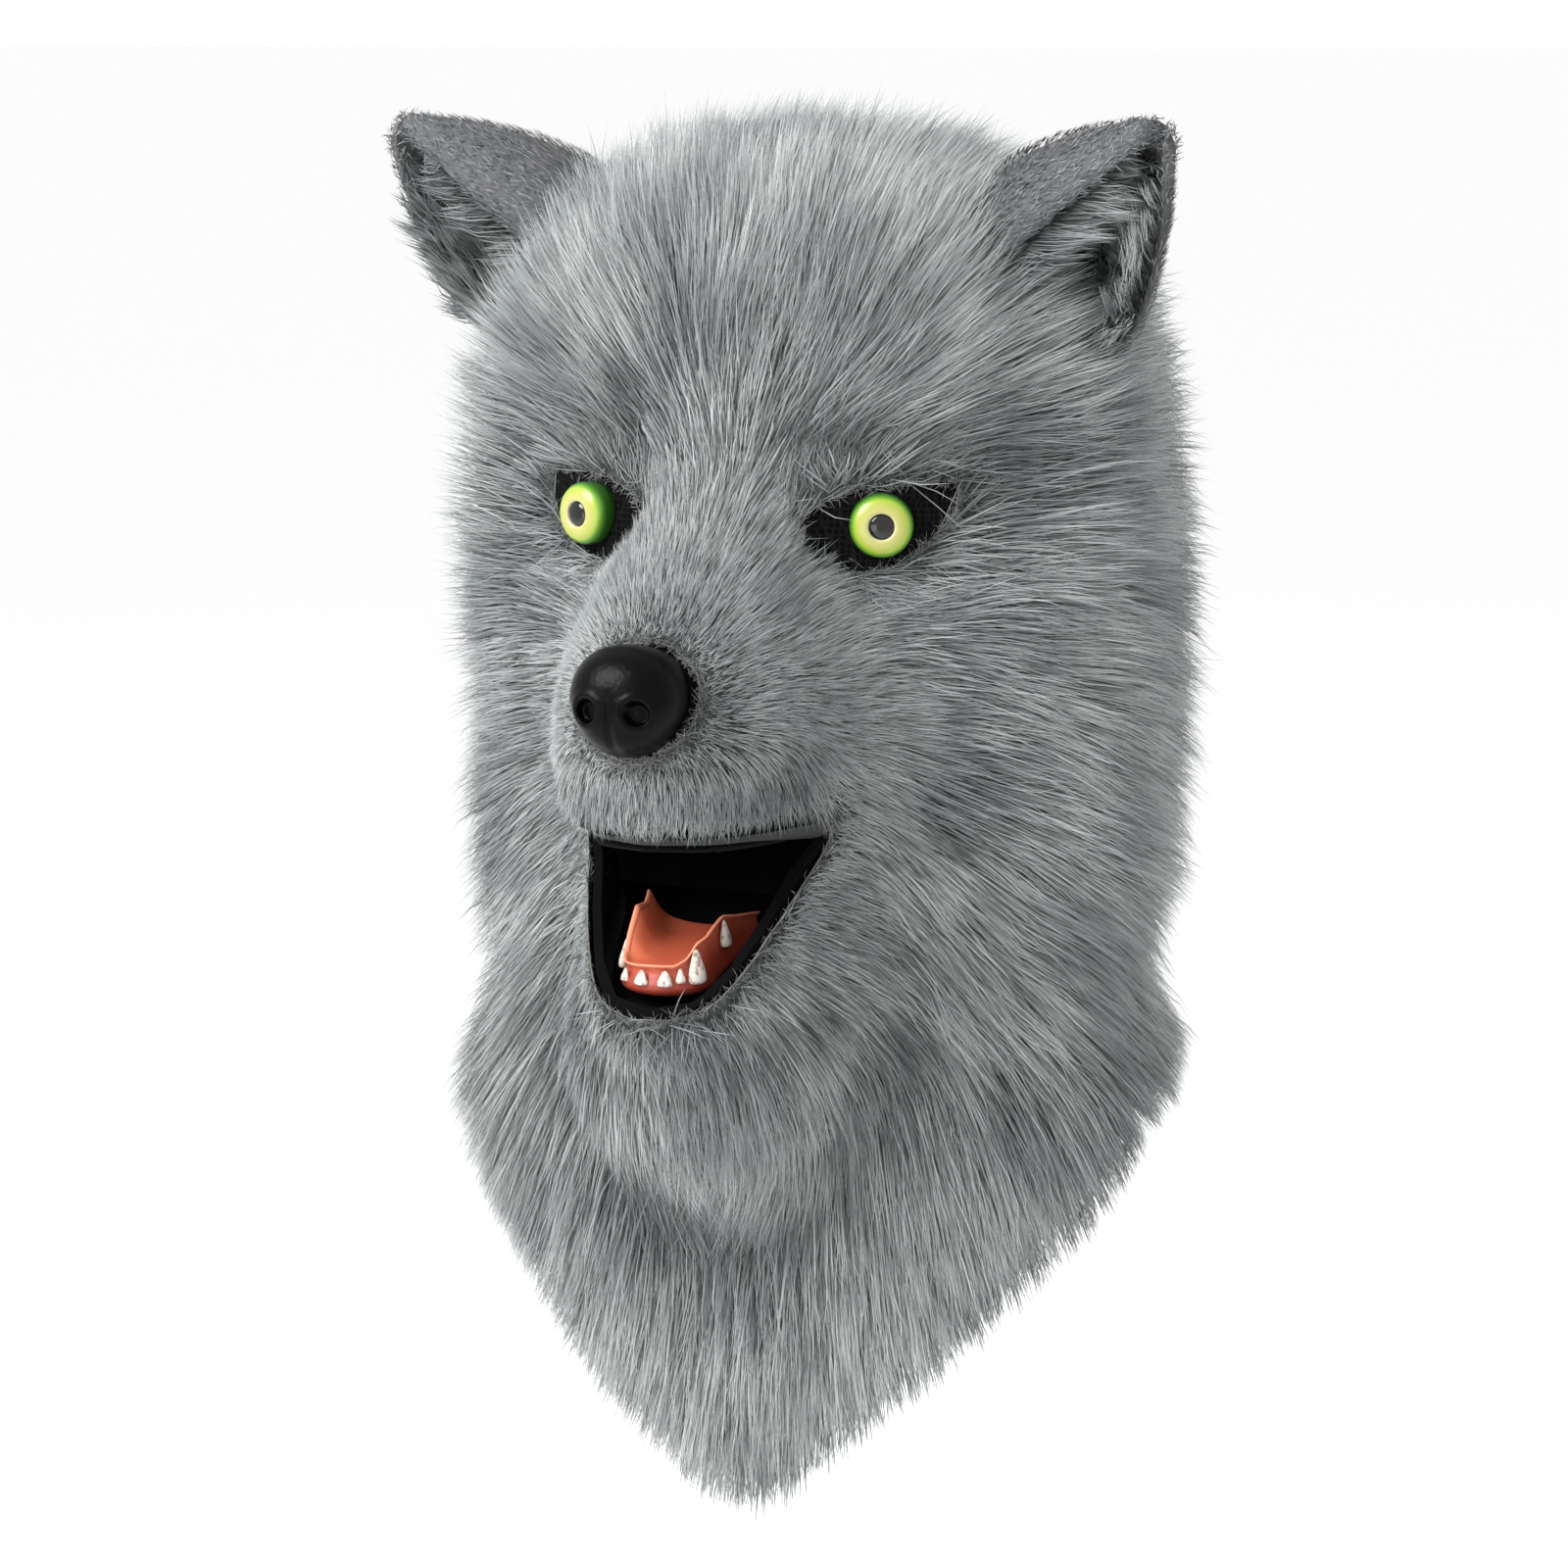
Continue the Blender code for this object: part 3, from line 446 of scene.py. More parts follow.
def unit(vectors):
    return vectors / np.maximum(np.linalg.norm(vectors, axis=1, keepdims=True), 1e-9)


def scatter(points, triangles, outs, count, density):
    """Roots spread over a surface, with its outward directions. density is a share per place."""
    corners = points[triangles]
    area = np.linalg.norm(
        np.cross(corners[:, 1] - corners[:, 0], corners[:, 2] - corners[:, 0]), axis=1
    )
    weight = area * density(corners.mean(axis=1))
    chosen = dice.choice(len(triangles), size=count, p=weight / weight.sum())
    a, b = dice.random((2, count))
    over = a + b > 1
    a[over], b[over] = 1 - a[over], 1 - b[over]
    shares = np.stack((1 - a - b, a, b), axis=1)[..., None]
    picked = triangles[chosen]
    return (points[picked] * shares).sum(axis=1), unit((outs[picked] * shares).sum(axis=1))


def comb(points):
    """The way the pile lies: away from the nose, round the eyes, down at the nape and the bib."""
    away = unit(points - np.array(NOSE_MIDDLE))
    swirl = np.array([noise.noise_vector(Vector(p) * SWIRL_RATE) for p in points])
    away = unit(away + SWIRL_SHARE * swirl)
    away[:, 2] -= 0.22 * smooth_step(points[:, 1], -0.09, 0.0)
    for spot in EYE_SPOTS:
        apart = points - spot
        distance = np.linalg.norm(apart * (0.8, 1.0, 1.3), axis=1)
        near = (1 - smooth_step(distance, *EYE_TURN))[:, None]
        away = unit(away + 0.75 * near * unit(apart))
    apart = points - MOUTH_MIDDLE
    near = (1 - smooth_step(np.linalg.norm(apart, axis=1), *MOUTH_TURN))[:, None]
    below_lip = smooth_step(-points[:, 2], 0.175, 0.20)[:, None]
    away = unit(away + 1.5 * near * below_lip * unit(apart))
    over_lip = smooth_step(-points[:, 2], *LIP_COMB) * (points[:, 2] > LIP_EDGE)
    over_lip = (over_lip * (1 - smooth_step(points[:, 1], *LIP_FRONT)))[:, None]
    away = unit(away * (1 - over_lip) + over_lip * np.array((0.0, -0.10, -1.0)))
    sideways = 0.45 * points[:, 0] / HEAD_HALF_WIDTH
    backwards = np.where(points[:, 1] > 0, 0.15, -0.12)
    down = np.stack((sideways, backwards, np.full(len(points), -1.0)), axis=1)
    behind = smooth_step(points[:, 1], 0.03, 0.105)
    below = smooth_step(-points[:, 2] / HOOD_DROP, 0.80, 1.00)
    mix = np.maximum(behind, below)[:, None]
    return unit(unit(away) * (1 - mix) + unit(down) * mix)


def hair_paths(roots, outs, combs, lengths, lifts, drops, shares):
    """Points along each hair at the given shares of its length."""
    lie = unit(combs - outs * (combs * outs).sum(axis=1, keepdims=True))
    start = lie * np.cos(lifts)[:, None] + outs * np.sin(lifts)[:, None]
    end_lift = lifts * 0.35
    end = lie * np.cos(end_lift)[:, None] + outs * np.sin(end_lift)[:, None]
    end[:, 2] -= drops
    end = unit(end)
    steps = []
    for s in shares:
        steps.append(roots + lengths[:, None] * (start * s + (end - start) * s * s / 2))
    return np.stack(steps, axis=1)


def ribbon_template(segments):
    """One tapered hair as a strip of quads that closes to a point: its corners and its faces."""
    bm = bmesh.new()
    bmesh.ops.create_grid(bm, x_segments=1, y_segments=segments, size=0.5)
    tip = [v for v in bm.verts if v.co.y > 0.49]
    bmesh.ops.pointmerge(bm, verts=tip, merge_co=(0, 0.5, 0))
    bm.verts.index_update()
    bm.verts.ensure_lookup_table()
    sides = np.array([v.co.x for v in bm.verts])
    rows = np.array([round((v.co.y + 0.5) * segments) for v in bm.verts])
    faces = [[v.index for v in f.verts] for f in bm.faces]
    bm.free()
    return sides, rows, faces


LONG_ROWS = (0.0, 0.40, 0.74, 1.0)
SHORT_ROWS = (0.0, 0.55, 1.0)


def weave_hairs(name, paths, outs, widths, shades, material, facing=0.6):
    """One mesh of many ribbons along their paths, with a UV map of shade and share of length."""
    row_shares = np.array(LONG_ROWS if paths.shape[1] == len(LONG_ROWS) else SHORT_ROWS)
    sides, rows, faces = ribbon_template(len(row_shares) - 1)
    count = len(paths)
    heads = unit(paths[:, -1] - paths[:, 0])
    across = unit(np.cross(heads, outs))
    face_out = unit(np.cross(across, heads))
    twist = dice.uniform(-facing, facing, count)[:, None]
    across = across * np.cos(twist) + face_out * np.sin(twist)
    reach = sides * (1 - row_shares[rows] ** 2)
    co = paths[:, rows] + across[:, None] * (reach[None, :, None] * widths[:, None, None])
    corner_verts = np.concatenate([np.array(f) for f in faces])
    loops = (corner_verts[None] + np.arange(count)[:, None] * len(rows)).ravel()
    sizes = np.tile([len(f) for f in faces], count)
    mesh = bpy.data.meshes.new(name)
    mesh.vertices.add(count * len(rows))
    mesh.vertices.foreach_set("co", co.astype(np.float32).ravel())
    mesh.loops.add(len(loops))
    mesh.loops.foreach_set("vertex_index", loops.astype(np.int32))
    mesh.polygons.add(len(sizes))
    starts = np.concatenate(([0], np.cumsum(sizes)[:-1]))
    mesh.polygons.foreach_set("loop_start", starts.astype(np.int32))
    mesh.polygons.foreach_set("use_smooth", np.ones(len(sizes), bool))
    uv = mesh.uv_layers.new(name="hair")
    along = row_shares[rows][corner_verts]
    pairs = np.stack((np.repeat(shades, len(corner_verts)), np.tile(along, count)), axis=1)
    uv.data.foreach_set("uv", pairs.astype(np.float32).ravel())
    mesh.update(calc_edges=True)
    mesh.validate()
    lit = unit(0.75 * face_out + 0.55 * outs + 0.32 * dice.normal(0, 1, outs.shape))
    mesh.normals_split_custom_set_from_vertices(np.repeat(lit, len(rows), axis=0).tolist())
    piece = bpy.data.objects.new(name, mesh)
    bpy.context.scene.collection.objects.link(piece)
    mesh.materials.append(material)
    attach(piece, "root")
    return piece


def tuft_hairs(paths, roots, spacing, pull):
    """Draws each hair towards the middle hair of its tuft, more towards the tip."""
    count = max(1, int(len(roots) * spacing))
    middles = dice.choice(len(roots), size=count, replace=False)
    tree = KDTree(count)
    for k, m in enumerate(middles):
        tree.insert(roots[m], k)
    tree.balance()
    own = np.array([tree.find(r)[1] for r in roots])
    lead = paths[middles[own]]
    shares = np.linspace(0, 1, paths.shape[1])[None, :, None] ** 1.4
    pulls = pull[:, None, None] * shares
    return paths * (1 - pulls) + lead * pulls, own, count


def hair_material(name, root, middle, tip, dark, rough):
    """Acrylic pile: semi-matte fibre, darker towards the root, which is the fibre's own darker base
    together with painted shade deep in the pile, each hair a little lighter or darker, with large soft
    patches over the hide."""
    made = new_material(name, middle, rough, Specular_IOR_Level=0.35)
    lay = add_node(made, "ShaderNodeUVMap", settings=[("uv_map", "hair")])
    split = add_node(made, "ShaderNodeSeparateXYZ", links=[("Vector", lay, "UV")])
    # Root to tip: the dark root end is the fibre's own base colour and painted shade deep in the pile.
    root_shade_to_tip_colours = add_node(made, "ShaderNodeValToRGB", links=[("Fac", split, "Y")])
    ramp(root_shade_to_tip_colours, [(0.0, root), (0.45, middle), (1.0, tip)])
    dark_hair_root_shade_colours = add_node(made, "ShaderNodeValToRGB", links=[("Fac", split, "Y")])
    ramp(dark_hair_root_shade_colours, [(0.0, root), (0.6, dark), (1.0, middle)])
    chosen = add_node(
        made,
        "ShaderNodeMix",
        settings=[("data_type", "RGBA")],
        links=[("Factor", split, "X"), ("A", dark_hair_root_shade_colours, "Color"), ("B", root_shade_to_tip_colours, "Color")],
    )
    place = add_node(made, "ShaderNodeTexCoord")
    patches = add_node(
        made,
        "ShaderNodeTexNoise",
        links=[("Vector", place, "Object")],
        inputs=[("Scale", 22.0), ("Detail", 2.0)],
    )
    patch_colours = add_node(made, "ShaderNodeValToRGB", links=[("Fac", patches, "Fac")])
    ramp(patch_colours, [(0.35, "#c8cacb"), (0.65, "#ffffff")])
    toned = add_node(
        made,
        "ShaderNodeMix",
        settings=[("data_type", "RGBA"), ("blend_type", "MULTIPLY")],
        inputs=[("Factor", 1.0)],
    )
    made.node_tree.links.new(chosen.outputs[2], toned.inputs[6])
    made.node_tree.links.new(patch_colours.outputs["Color"], toned.inputs[7])
    feed(made, "Base Color", toned, 2)
    return made


grey_pile = hair_material("grey_acrylic_pile", "#3a3d3d", "#9da1a1", "#cdd0d0", "#565a5a", 0.6)
MUZZLE_HAIRS = 55000
HEAD_HAIRS = 111000
SHORT_HAIR = 0.0090
HAIR_GAIN = 0.038
HAIR_GAIN_REACH = (0.036, 0.135)
CUT_FADE = 0.022
HEM_FADE = 0.045
FUZZ_FADE = 0.007
ROOT_SINK = 0.001
LIP_KEPT = -0.160
LIP_KEPT_FRONT = -0.095
# Hairs that would cross an eye are cut short, apart from a share of them that falls over it.
EYE_CLEAR = 0.0125
EYE_TRIM = 0.42
STRAY_SHARE = 0.06
BRIDGE_EDGE = 0.013
BRIDGE_SHARES = {"left": 0.95, "right": 0.30}


def lay_guard_hairs(count, density, rows, inside):
    """Roots, paths and looks of guard hairs over a part of the hide."""
    roots, outs = scatter(
        ground_points, ground_triangles, ground_outs, count, lambda p: density(p) * inside(p)
    )
    opening = distance_to(opening_tree, roots)
    hem = distance_to(hem_tree, roots)
    away = np.linalg.norm(roots - MUZZLE_MIDDLE, axis=1)
    lengths = SHORT_HAIR + HAIR_GAIN * smooth_step(away, *HAIR_GAIN_REACH)
    open_share = smooth_step(opening, 0.0, CUT_FADE)
    at_lip = (roots[:, 2] > LIP_EDGE) & (roots[:, 2] < LIP_KEPT) & (roots[:, 1] < LIP_KEPT_FRONT)
    open_share = np.where(at_lip, 1.0, open_share)
    lengths *= (0.55 + 0.45 * open_share) * (0.28 + 0.72 * smooth_step(hem, 0.0, HEM_FADE))
    lengths *= dice.uniform(0.72, 1.2, count)
    fuzz = 1 - smooth_step(opening, 0.0, FUZZ_FADE)
    combs = unit(comb(roots) + (0.12 + 0.50 * fuzz)[:, None] * dice.normal(0, 1, (count, 3)))
    crown = smooth_step(roots[:, 2], -0.05, 0.005)
    short = 1 - smooth_step(away, 0.05, 0.09)
    flank = smooth_step(np.abs(roots[:, 0]), 0.060, 0.095)
    lifts = np.radians(28 + 20 * crown + 9 * short + 12 * flank + dice.normal(0, 7, count))
    lifts *= 0.70 + 0.30 * open_share
    drops = 0.20 * smooth_step(lengths, 0.015, 0.035) * (1 - crown)
    base = roots - outs * ROOT_SINK
    paths = hair_paths(base, outs, combs, lengths, lifts, drops, rows)
    for spot in EYE_SPOTS:
        crossing = np.linalg.norm(paths - spot, axis=2).min(axis=1) < EYE_CLEAR
        from_bridge = np.abs(roots[:, 0]) < abs(spot[0]) - BRIDGE_EDGE
        kept = BRIDGE_SHARES["left" if spot[0] < 0 else "right"]
        crossing &= dice.random(count) > np.where(from_bridge, kept, STRAY_SHARE)
        lengths[crossing] *= EYE_TRIM
    paths = hair_paths(base, outs, combs, lengths, lifts, drops, rows)
    pulls = dice.uniform(0.10, 0.75, count) * (0.4 + 0.6 * open_share) * (1 - 0.70 * short)
    paths, tuft, tufts = tuft_hairs(paths, roots, 0.11, pulls)
    tuft_shade = dice.normal(0, 0.24, tufts)
    shades = dice.normal(0.50, 0.28, count) + tuft_shade[tuft]
    shades = np.clip(shades * (1 - 0.55 * short) + 0.50 * short, 0.0, 1.0)
    widths = HAIR_WIDTH * dice.uniform(0.7, 1.3, count)
    widths *= (0.70 + 0.30 * smooth_step(lengths, 0.008, 0.03)) * (1 - 0.18 * short)
    return roots, outs, paths, shades, widths


def on_muzzle(points):
    in_front = (points[:, 1] < -0.055) & (np.abs(points[:, 0]) < 0.06)
    return in_front & (points[:, 2] > HEM_TOP)


roots, outs, paths, shades, widths = lay_guard_hairs(
    MUZZLE_HAIRS, lambda p: np.ones(len(p)), SHORT_ROWS, on_muzzle
)
weave_hairs("fur_muzzle", paths, outs, widths, shades, grey_pile)
roots, outs, paths, shades, widths = lay_guard_hairs(
    HEAD_HAIRS,
    lambda p: 0.7 + 0.5 * smooth_step(-p[:, 1], -0.05, 0.02),
    LONG_ROWS,
    lambda p: ~on_muzzle(p),
)
cuts = {
    "fur_bib": (-roots[:, 2] / HOOD_DROP > 0.86) & (roots[:, 1] < 0.02),
    "fur_nape": (roots[:, 1] >= 0.045) & (roots[:, 2] < -0.10),
    "fur_crown": (roots[:, 2] > -0.068),
    "fur_cheek_left": roots[:, 0] < 0,
    "fur_cheek_right": roots[:, 0] >= 0,
}
taken = np.zeros(HEAD_HAIRS, bool)
for name, inside in cuts.items():
    mine = inside & ~taken
    taken |= mine
    weave_hairs(name, paths[mine], outs[mine], widths[mine], shades[mine], grey_pile)

# The frayed edge: loose pale fibres of the ground cloth where it is cut at the eyes and the mouth.
FRAY_HAIRS = 3200
FRAY_SPREAD = 0.0006
FRAY_LENGTHS = (0.0012, 0.0050)
FRAY_WIDTHS = (0.00012, 0.00024)
fray_fibre = hair_material("frayed_ground_fibre", "#5c5d5b", "#8f908e", "#b4b5b3", "#6b6d6c", 0.7)
edge_verts = np.array(rim_keepers)
edge_picks = dice.choice(len(edge_verts), FRAY_HAIRS)
roots = edge_verts[edge_picks] + FRAY_SPREAD * dice.normal(0, 1, (FRAY_HAIRS, 3))
ground_near = tree_of(ground_points)
outs = ground_outs[[ground_near.find(r)[1] for r in roots]]
heads = unit(dice.normal(0, 1, (FRAY_HAIRS, 3)))
paths = hair_paths(
    roots,
    outs,
    heads,
    dice.uniform(*FRAY_LENGTHS, FRAY_HAIRS),
    np.radians(dice.uniform(0, 40, FRAY_HAIRS)),
    np.full(FRAY_HAIRS, 0.1),
    SHORT_ROWS,
)
widths = dice.uniform(*FRAY_WIDTHS, FRAY_HAIRS)
shades = np.clip(dice.normal(0.6, 0.3, FRAY_HAIRS), 0, 1)
weave_hairs("frayed_cut_edge", paths, outs, widths, shades, fray_fibre)

# The ears: two layers of short velvety pile cut as a cup and sewn at the rim, darker and more purple
# than the head, with long light tufts inside.
EAR_HAIRS = 10000
EAR_HAIR_LENGTHS = (0.0026, 0.0046)
EAR_HAIR_WIDTHS = (0.0003, 0.0005)
EAR_ROOT = (0.085, -0.008, -0.008)
TUFT_HAIRS = 10000
TUFT_LENGTHS = (0.014, 0.031)
TUFT_WIDTHS = (0.0004, 0.0007)
TUFT_REACH = (0.010, 0.050)
ear_velvet = new_material("short_purple_grey_pile_ground", "#5c5d5e", 0.95, Specular_IOR_Level=0.1)
short_pile = hair_material("short_purple_grey_pile", "#4f5052", "#88898b", "#b4b5b7", "#55565a", 0.6)
long_pile = hair_material("long_ear_pile", "#6a6d6d", "#aaaeae", "#d2d5d5", "#7d8181", 0.6)


def smooth_copy(node, name, material, levels=2):
    """A rounded copy of a CAD node: its triangles joined to quads, then subdivided."""
    bm = merged_copy(node)
    bmesh.ops.join_triangles(
        bm,
        faces=bm.faces,
        angle_face_threshold=math.radians(50),
        angle_shape_threshold=math.radians(60),
    )
    piece = add_piece(name, bm, material, [node])
    rounding = piece.modifiers.new("rounding", "SUBSURF")
    rounding.levels = levels
    rounding.render_levels = levels
    return piece


for side, sign in SIDES.items():
    low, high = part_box(f"ear_{side}")
    tip = Vector((high.x if sign > 0 else low.x, low.y + 0.006, high.z - 0.002))
    smooth_copy(f"ear_{side}", f"ear_cup_{side}", ear_velvet, 1)
    bm = merged_copy(f"ear_{side}")
    bmesh.ops.triangulate(bm, faces=bm.faces)
    bm.normal_update()
    points = np.array([v.co for v in bm.verts])
    normals = np.array([v.normal for v in bm.verts])
    triangles = np.array([[v.index for v in f.verts] for f in bm.faces])
    facing = np.array([f.normal for f in bm.faces])
    middles = points[triangles].mean(axis=1)
    root_end = np.array(EAR_ROOT) * (sign, 1, 1)
    axis = unit((np.array(tip) - root_end)[None])[0]
    up_ear = (middles - root_end) @ axis
    shown = up_ear > -0.005
    tuft_low, tuft_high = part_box(f"ear_tuft_{side}")
    focus = np.array((tuft_low + tuft_high) / 2) + (0, -0.010, 0.0)
    inner = ((focus - middles) * facing).sum(axis=1) > 0
    bm.free()
    roots, outs = scatter(points, triangles[shown], normals, EAR_HAIRS, lambda p: np.ones(len(p)))
    heads = unit(np.array(tip) - roots + 0.012 * dice.normal(0, 1, roots.shape))
    count = len(roots)
    paths = hair_paths(
        roots - outs * 0.0004,
        outs,
        heads,
        dice.uniform(*EAR_HAIR_LENGTHS, count),
        np.radians(dice.uniform(15, 42, count)),
        np.zeros(count),
        SHORT_ROWS,
    )
    widths = dice.uniform(*EAR_HAIR_WIDTHS, count)
    shades = np.clip(dice.normal(0.5, 0.36, count), 0.0, 1.0)
    weave_hairs(f"ear_pile_{side}", paths, outs, widths, shades, short_pile)
    deep = shown & inner
    roots, outs = scatter(
        points,
        triangles[deep],
        normals,
        TUFT_HAIRS,
        lambda p: smooth_step(-((p - root_end) @ axis), -0.070, -0.030) + 0.04,
    )
    count = len(roots)
    outward = np.array((sign * 0.9, -0.5, 0.1))
    swirl = np.array([noise.noise_vector(Vector(p) * 2 * SWIRL_RATE) for p in roots])
    heads = unit(unit(np.array(tip) - roots) + 0.55 * outward + 0.9 * swirl
                 + 0.16 * dice.normal(0, 1, roots.shape))
    from_tip = smooth_step(np.linalg.norm(np.array(tip) - roots, axis=1), *TUFT_REACH)
    paths = hair_paths(
        roots,
        outs,
        heads,
        dice.uniform(*TUFT_LENGTHS, count) * (0.25 + 0.75 * from_tip),
        np.radians(dice.uniform(35, 80, count)),
        np.full(count, 0.1),
        SHORT_ROWS,
    )
    paths, _, _ = tuft_hairs(paths, roots, 0.05, dice.uniform(0.3, 0.85, count))
    widths = dice.uniform(*TUFT_WIDTHS, count)
    shades = np.clip(dice.normal(0.6, 0.25, count), 0.02, 0.98)
    tufts_piece = weave_hairs(
        f"ear_tufts_{side}", paths, outs, widths, shades, long_pile
    )
    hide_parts(f"ear_tuft_{side}")

# The nose: one moulding of semi-gloss black vinyl with a leathery grain, a middle groove and two
# round nostrils, pressed through the fur and glued to the backing.
NOSE_GRAIN = 0.0016
NOSE_HALF_DEPTH = 0.017
NOSE_SEAT = 0.0171
NOSE_TILT = math.radians(-8)
NOSTRIL_SPOTS = ((-0.0085, -0.0036), (0.0085, -0.0036))
NOSTRIL_RADIUS = 0.0036
NOSTRIL_DEPTH = 0.0040
NOSTRIL_RING = 0.0005
GROOVE_WIDTH = 0.0011
GROOVE_DEPTH = 0.0010

vinyl = new_material("black_moulded_vinyl", "#030303", 0.33, Specular_IOR_Level=0.08)
place = add_node(vinyl, "ShaderNodeTexCoord")
grain = add_node(
    vinyl,
    "ShaderNodeTexVoronoi",
    links=[("Vector", place, "Object")],
    inputs=[("Scale", 1 / NOSE_GRAIN), ("Randomness", 1.0)],
)
add_bump(vinyl, grain, "Distance", 0.18, 0.0004)

bm = bmesh.new()
bmesh.ops.create_uvsphere(bm, u_segments=96, v_segments=64, radius=1.0)
quarter_turn = Matrix.Rotation(math.radians(90), 3, "X")
bmesh.ops.rotate(bm, verts=bm.verts, matrix=quarter_turn, cent=(0, 0, 0))
half = (NOSE_HIGH - NOSE_LOW) / 2
for vert in bm.verts:
    x, y, z = vert.co
    narrow = 1 - 0.20 * max(-z, 0)
    vert.co.x = math.copysign(abs(x) ** 0.86, x) * half.x * narrow
    vert.co.z = math.copysign(abs(z) ** 0.90, z) * half.z
    vert.co.y = math.copysign(abs(y) ** 0.85, y) * NOSE_HALF_DEPTH
    if y < 0:
        for spot_x, spot_z in NOSTRIL_SPOTS:
            apart = math.hypot(vert.co.x - spot_x, vert.co.z - spot_z)
            pit = 1 - min(max((apart - NOSTRIL_RADIUS * 0.72) / (NOSTRIL_RADIUS * 0.5), 0), 1)
            ring = math.exp(-(((apart - NOSTRIL_RADIUS * 1.45) / GROOVE_WIDTH) ** 2))
            vert.co.y += NOSTRIL_DEPTH * pit * pit * (3 - 2 * pit) - NOSTRIL_RING * ring
        low_share = min(max((0.004 - vert.co.z) / 0.01, 0), 1)
        groove = math.exp(-((vert.co.x / GROOVE_WIDTH) ** 2)) * low_share
        vert.co.y += GROOVE_DEPTH * groove
tilt = Matrix.Rotation(NOSE_TILT, 4, "X")
seat = Matrix.Translation((0, NOSE_LOW.y + NOSE_SEAT, NOSE_MIDDLE.z))
bmesh.ops.transform(bm, matrix=seat @ tilt, verts=bm.verts)
bmesh.ops.recalc_face_normals(bm, faces=bm.faces)
add_piece("nose_moulding", bm, vinyl, ["nose"])

# The mouth: a rolled upper lip and roof of dark soft vinyl, flocked dull, and the jaw pan that
# carries the liner. The roll runs under the fur's cut edge from corner to corner.
LIP_ROLL = 0.0075
LIP_STEPS = 72
LIP_SIDES = 20
LIP_TURN = 84
LIP_THIN = 0.0016
LIP_SWELL = 0.0098
LIP_RAISE = 0.0015
LIP_END_RISE = 0.004
LIP_FRONT_RISE = 0.003
LIP_SINK = 0.0005
LIP_CENTRE = (0.0, -0.055)
LIP_SEARCH = 0.14
lip_vinyl = new_material("dull_dark_vinyl_lip", "#2c2d2e", 0.55, Specular_IOR_Level=0.25)
place = add_node(lip_vinyl, "ShaderNodeTexCoord")
mottle = add_node(
    lip_vinyl,
    "ShaderNodeTexNoise",
    links=[("Vector", place, "Object")],
    inputs=[("Scale", 160.0), ("Detail", 4.0)],
)
add_bump(lip_vinyl, mottle, "Fac", 0.15, 0.0006)
mouth_black = new_material("dull_black_foam", "#0a0a0b", 0.85, Specular_IOR_Level=0.1)
place = add_node(mouth_black, "ShaderNodeTexCoord")
foam = add_node(
    mouth_black,
    "ShaderNodeTexNoise",
    links=[("Vector", place, "Object")],
    inputs=[("Scale", 900.0), ("Detail", 2.0)],
)
add_bump(mouth_black, foam, "Fac", 0.3, 0.0004)
smooth_copy("palate", "upper_lip_and_roof", mouth_black, 2)
smooth_copy("jaw_shell", "jaw_pan", mouth_black, 2)


def sweep_rings(rings):
    """A tube through rings of points, capped at both ends."""
    bm = bmesh.new()
    rows = [[bm.verts.new(p) for p in ring] for ring in rings]
    for one, two in zip(rows, rows[1:]):
        for k in range(len(one)):
            m = (k + 1) % len(one)
            bm.faces.new((one[k], one[m], two[m], two[k]))
    bm.faces.new(rows[0][::-1])
    bm.faces.new(rows[-1])
    bmesh.ops.recalc_face_normals(bm, faces=bm.faces)
    return bm


palate_points = np.array([v.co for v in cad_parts["palate"].data.vertices])
lip_floor = palate_points[:, 2].min()
rings = []
palate_tree = bvh_of("palate")
for k in range(LIP_STEPS + 1):
    turn = math.radians(-LIP_TURN + 2 * LIP_TURN * k / LIP_STEPS)
    way = Vector((math.sin(turn), -math.cos(turn), 0))
    start = Vector((*LIP_CENTRE, lip_floor + 0.0012)) + way * LIP_SEARCH
    hit = palate_tree.ray_cast(start, -way)[0]
    if hit is None:
        continue
    corner = smooth_step(abs(math.degrees(turn)), 16, 52)
    fade = 1 - smooth_step(abs(math.degrees(turn)), 70, LIP_TURN)
    tall = (LIP_THIN + LIP_SWELL * corner) * (0.25 + 0.75 * fade)
    deep = LIP_ROLL * (0.12 + 0.88 * corner) * (0.3 + 0.7 * fade)
    height = lip_floor + LIP_RAISE * corner + tall * 0.80
    height = height + LIP_END_RISE * (1 - fade) + LIP_FRONT_RISE * (1 - corner)
    middle = Vector((hit.x, hit.y, height)) - way * LIP_SINK
    ring = []
    for j in range(LIP_SIDES):
        angle = 2 * math.pi * j / LIP_SIDES
        upwards = Vector((0, 0, 1)) * tall * math.sin(angle)
        ring.append(middle + way * deep * math.cos(angle) + upwards)
    rings.append(ring)
bm = sweep_rings(rings)
roll = add_piece("rolled_upper_lip", bm, lip_vinyl)
rounding = roll.modifiers.new("rounding", "SUBSURF")
rounding.levels = 1
rounding.render_levels = 1

# The gum liner: a scalloped tray of vacuum-formed vinyl, sprayed orange inside and darker red below the
# teeth; the lightest orange band along its rim is a painted highlight, and the inside darkening down to
# the tray's floor is painted shade. The sheet rises to a crest behind each canine and ends in two flaps.
# The rim's places, from the left back at -1 to the right back at 1, each with its height.
RIM_ROWS = [
    (-1.00, -0.2140), (-0.82, -0.2162), (-0.62, -0.2150), (-0.52, -0.2215), (-0.43, -0.2285),
    (-0.30, -0.2303), (-0.12, -0.2300), (0.0, -0.2297), (0.17, -0.2297), (0.26, -0.2275),
    (0.34, -0.2228), (0.45, -0.2212), (0.55, -0.2190), (0.66, -0.2165), (0.80, -0.2178),
    (1.0, -0.2185),
]
TRAY_HALF = 0.0142
TRAY_MIDDLE_X = -0.0016
TRAY_TURN_Y = -0.118
TRAY_NOSE = 0.0142
TRAY_BACK = 0.029
TRAY_FLARE = 0.0055
GUM_FOOT = -0.2400
FLOOR_FRONT = -0.2335
FLOOR_BACK = -0.2245
SHEET = 0.0006
LINER_PLACES = 81
LINER_ROWS = 14


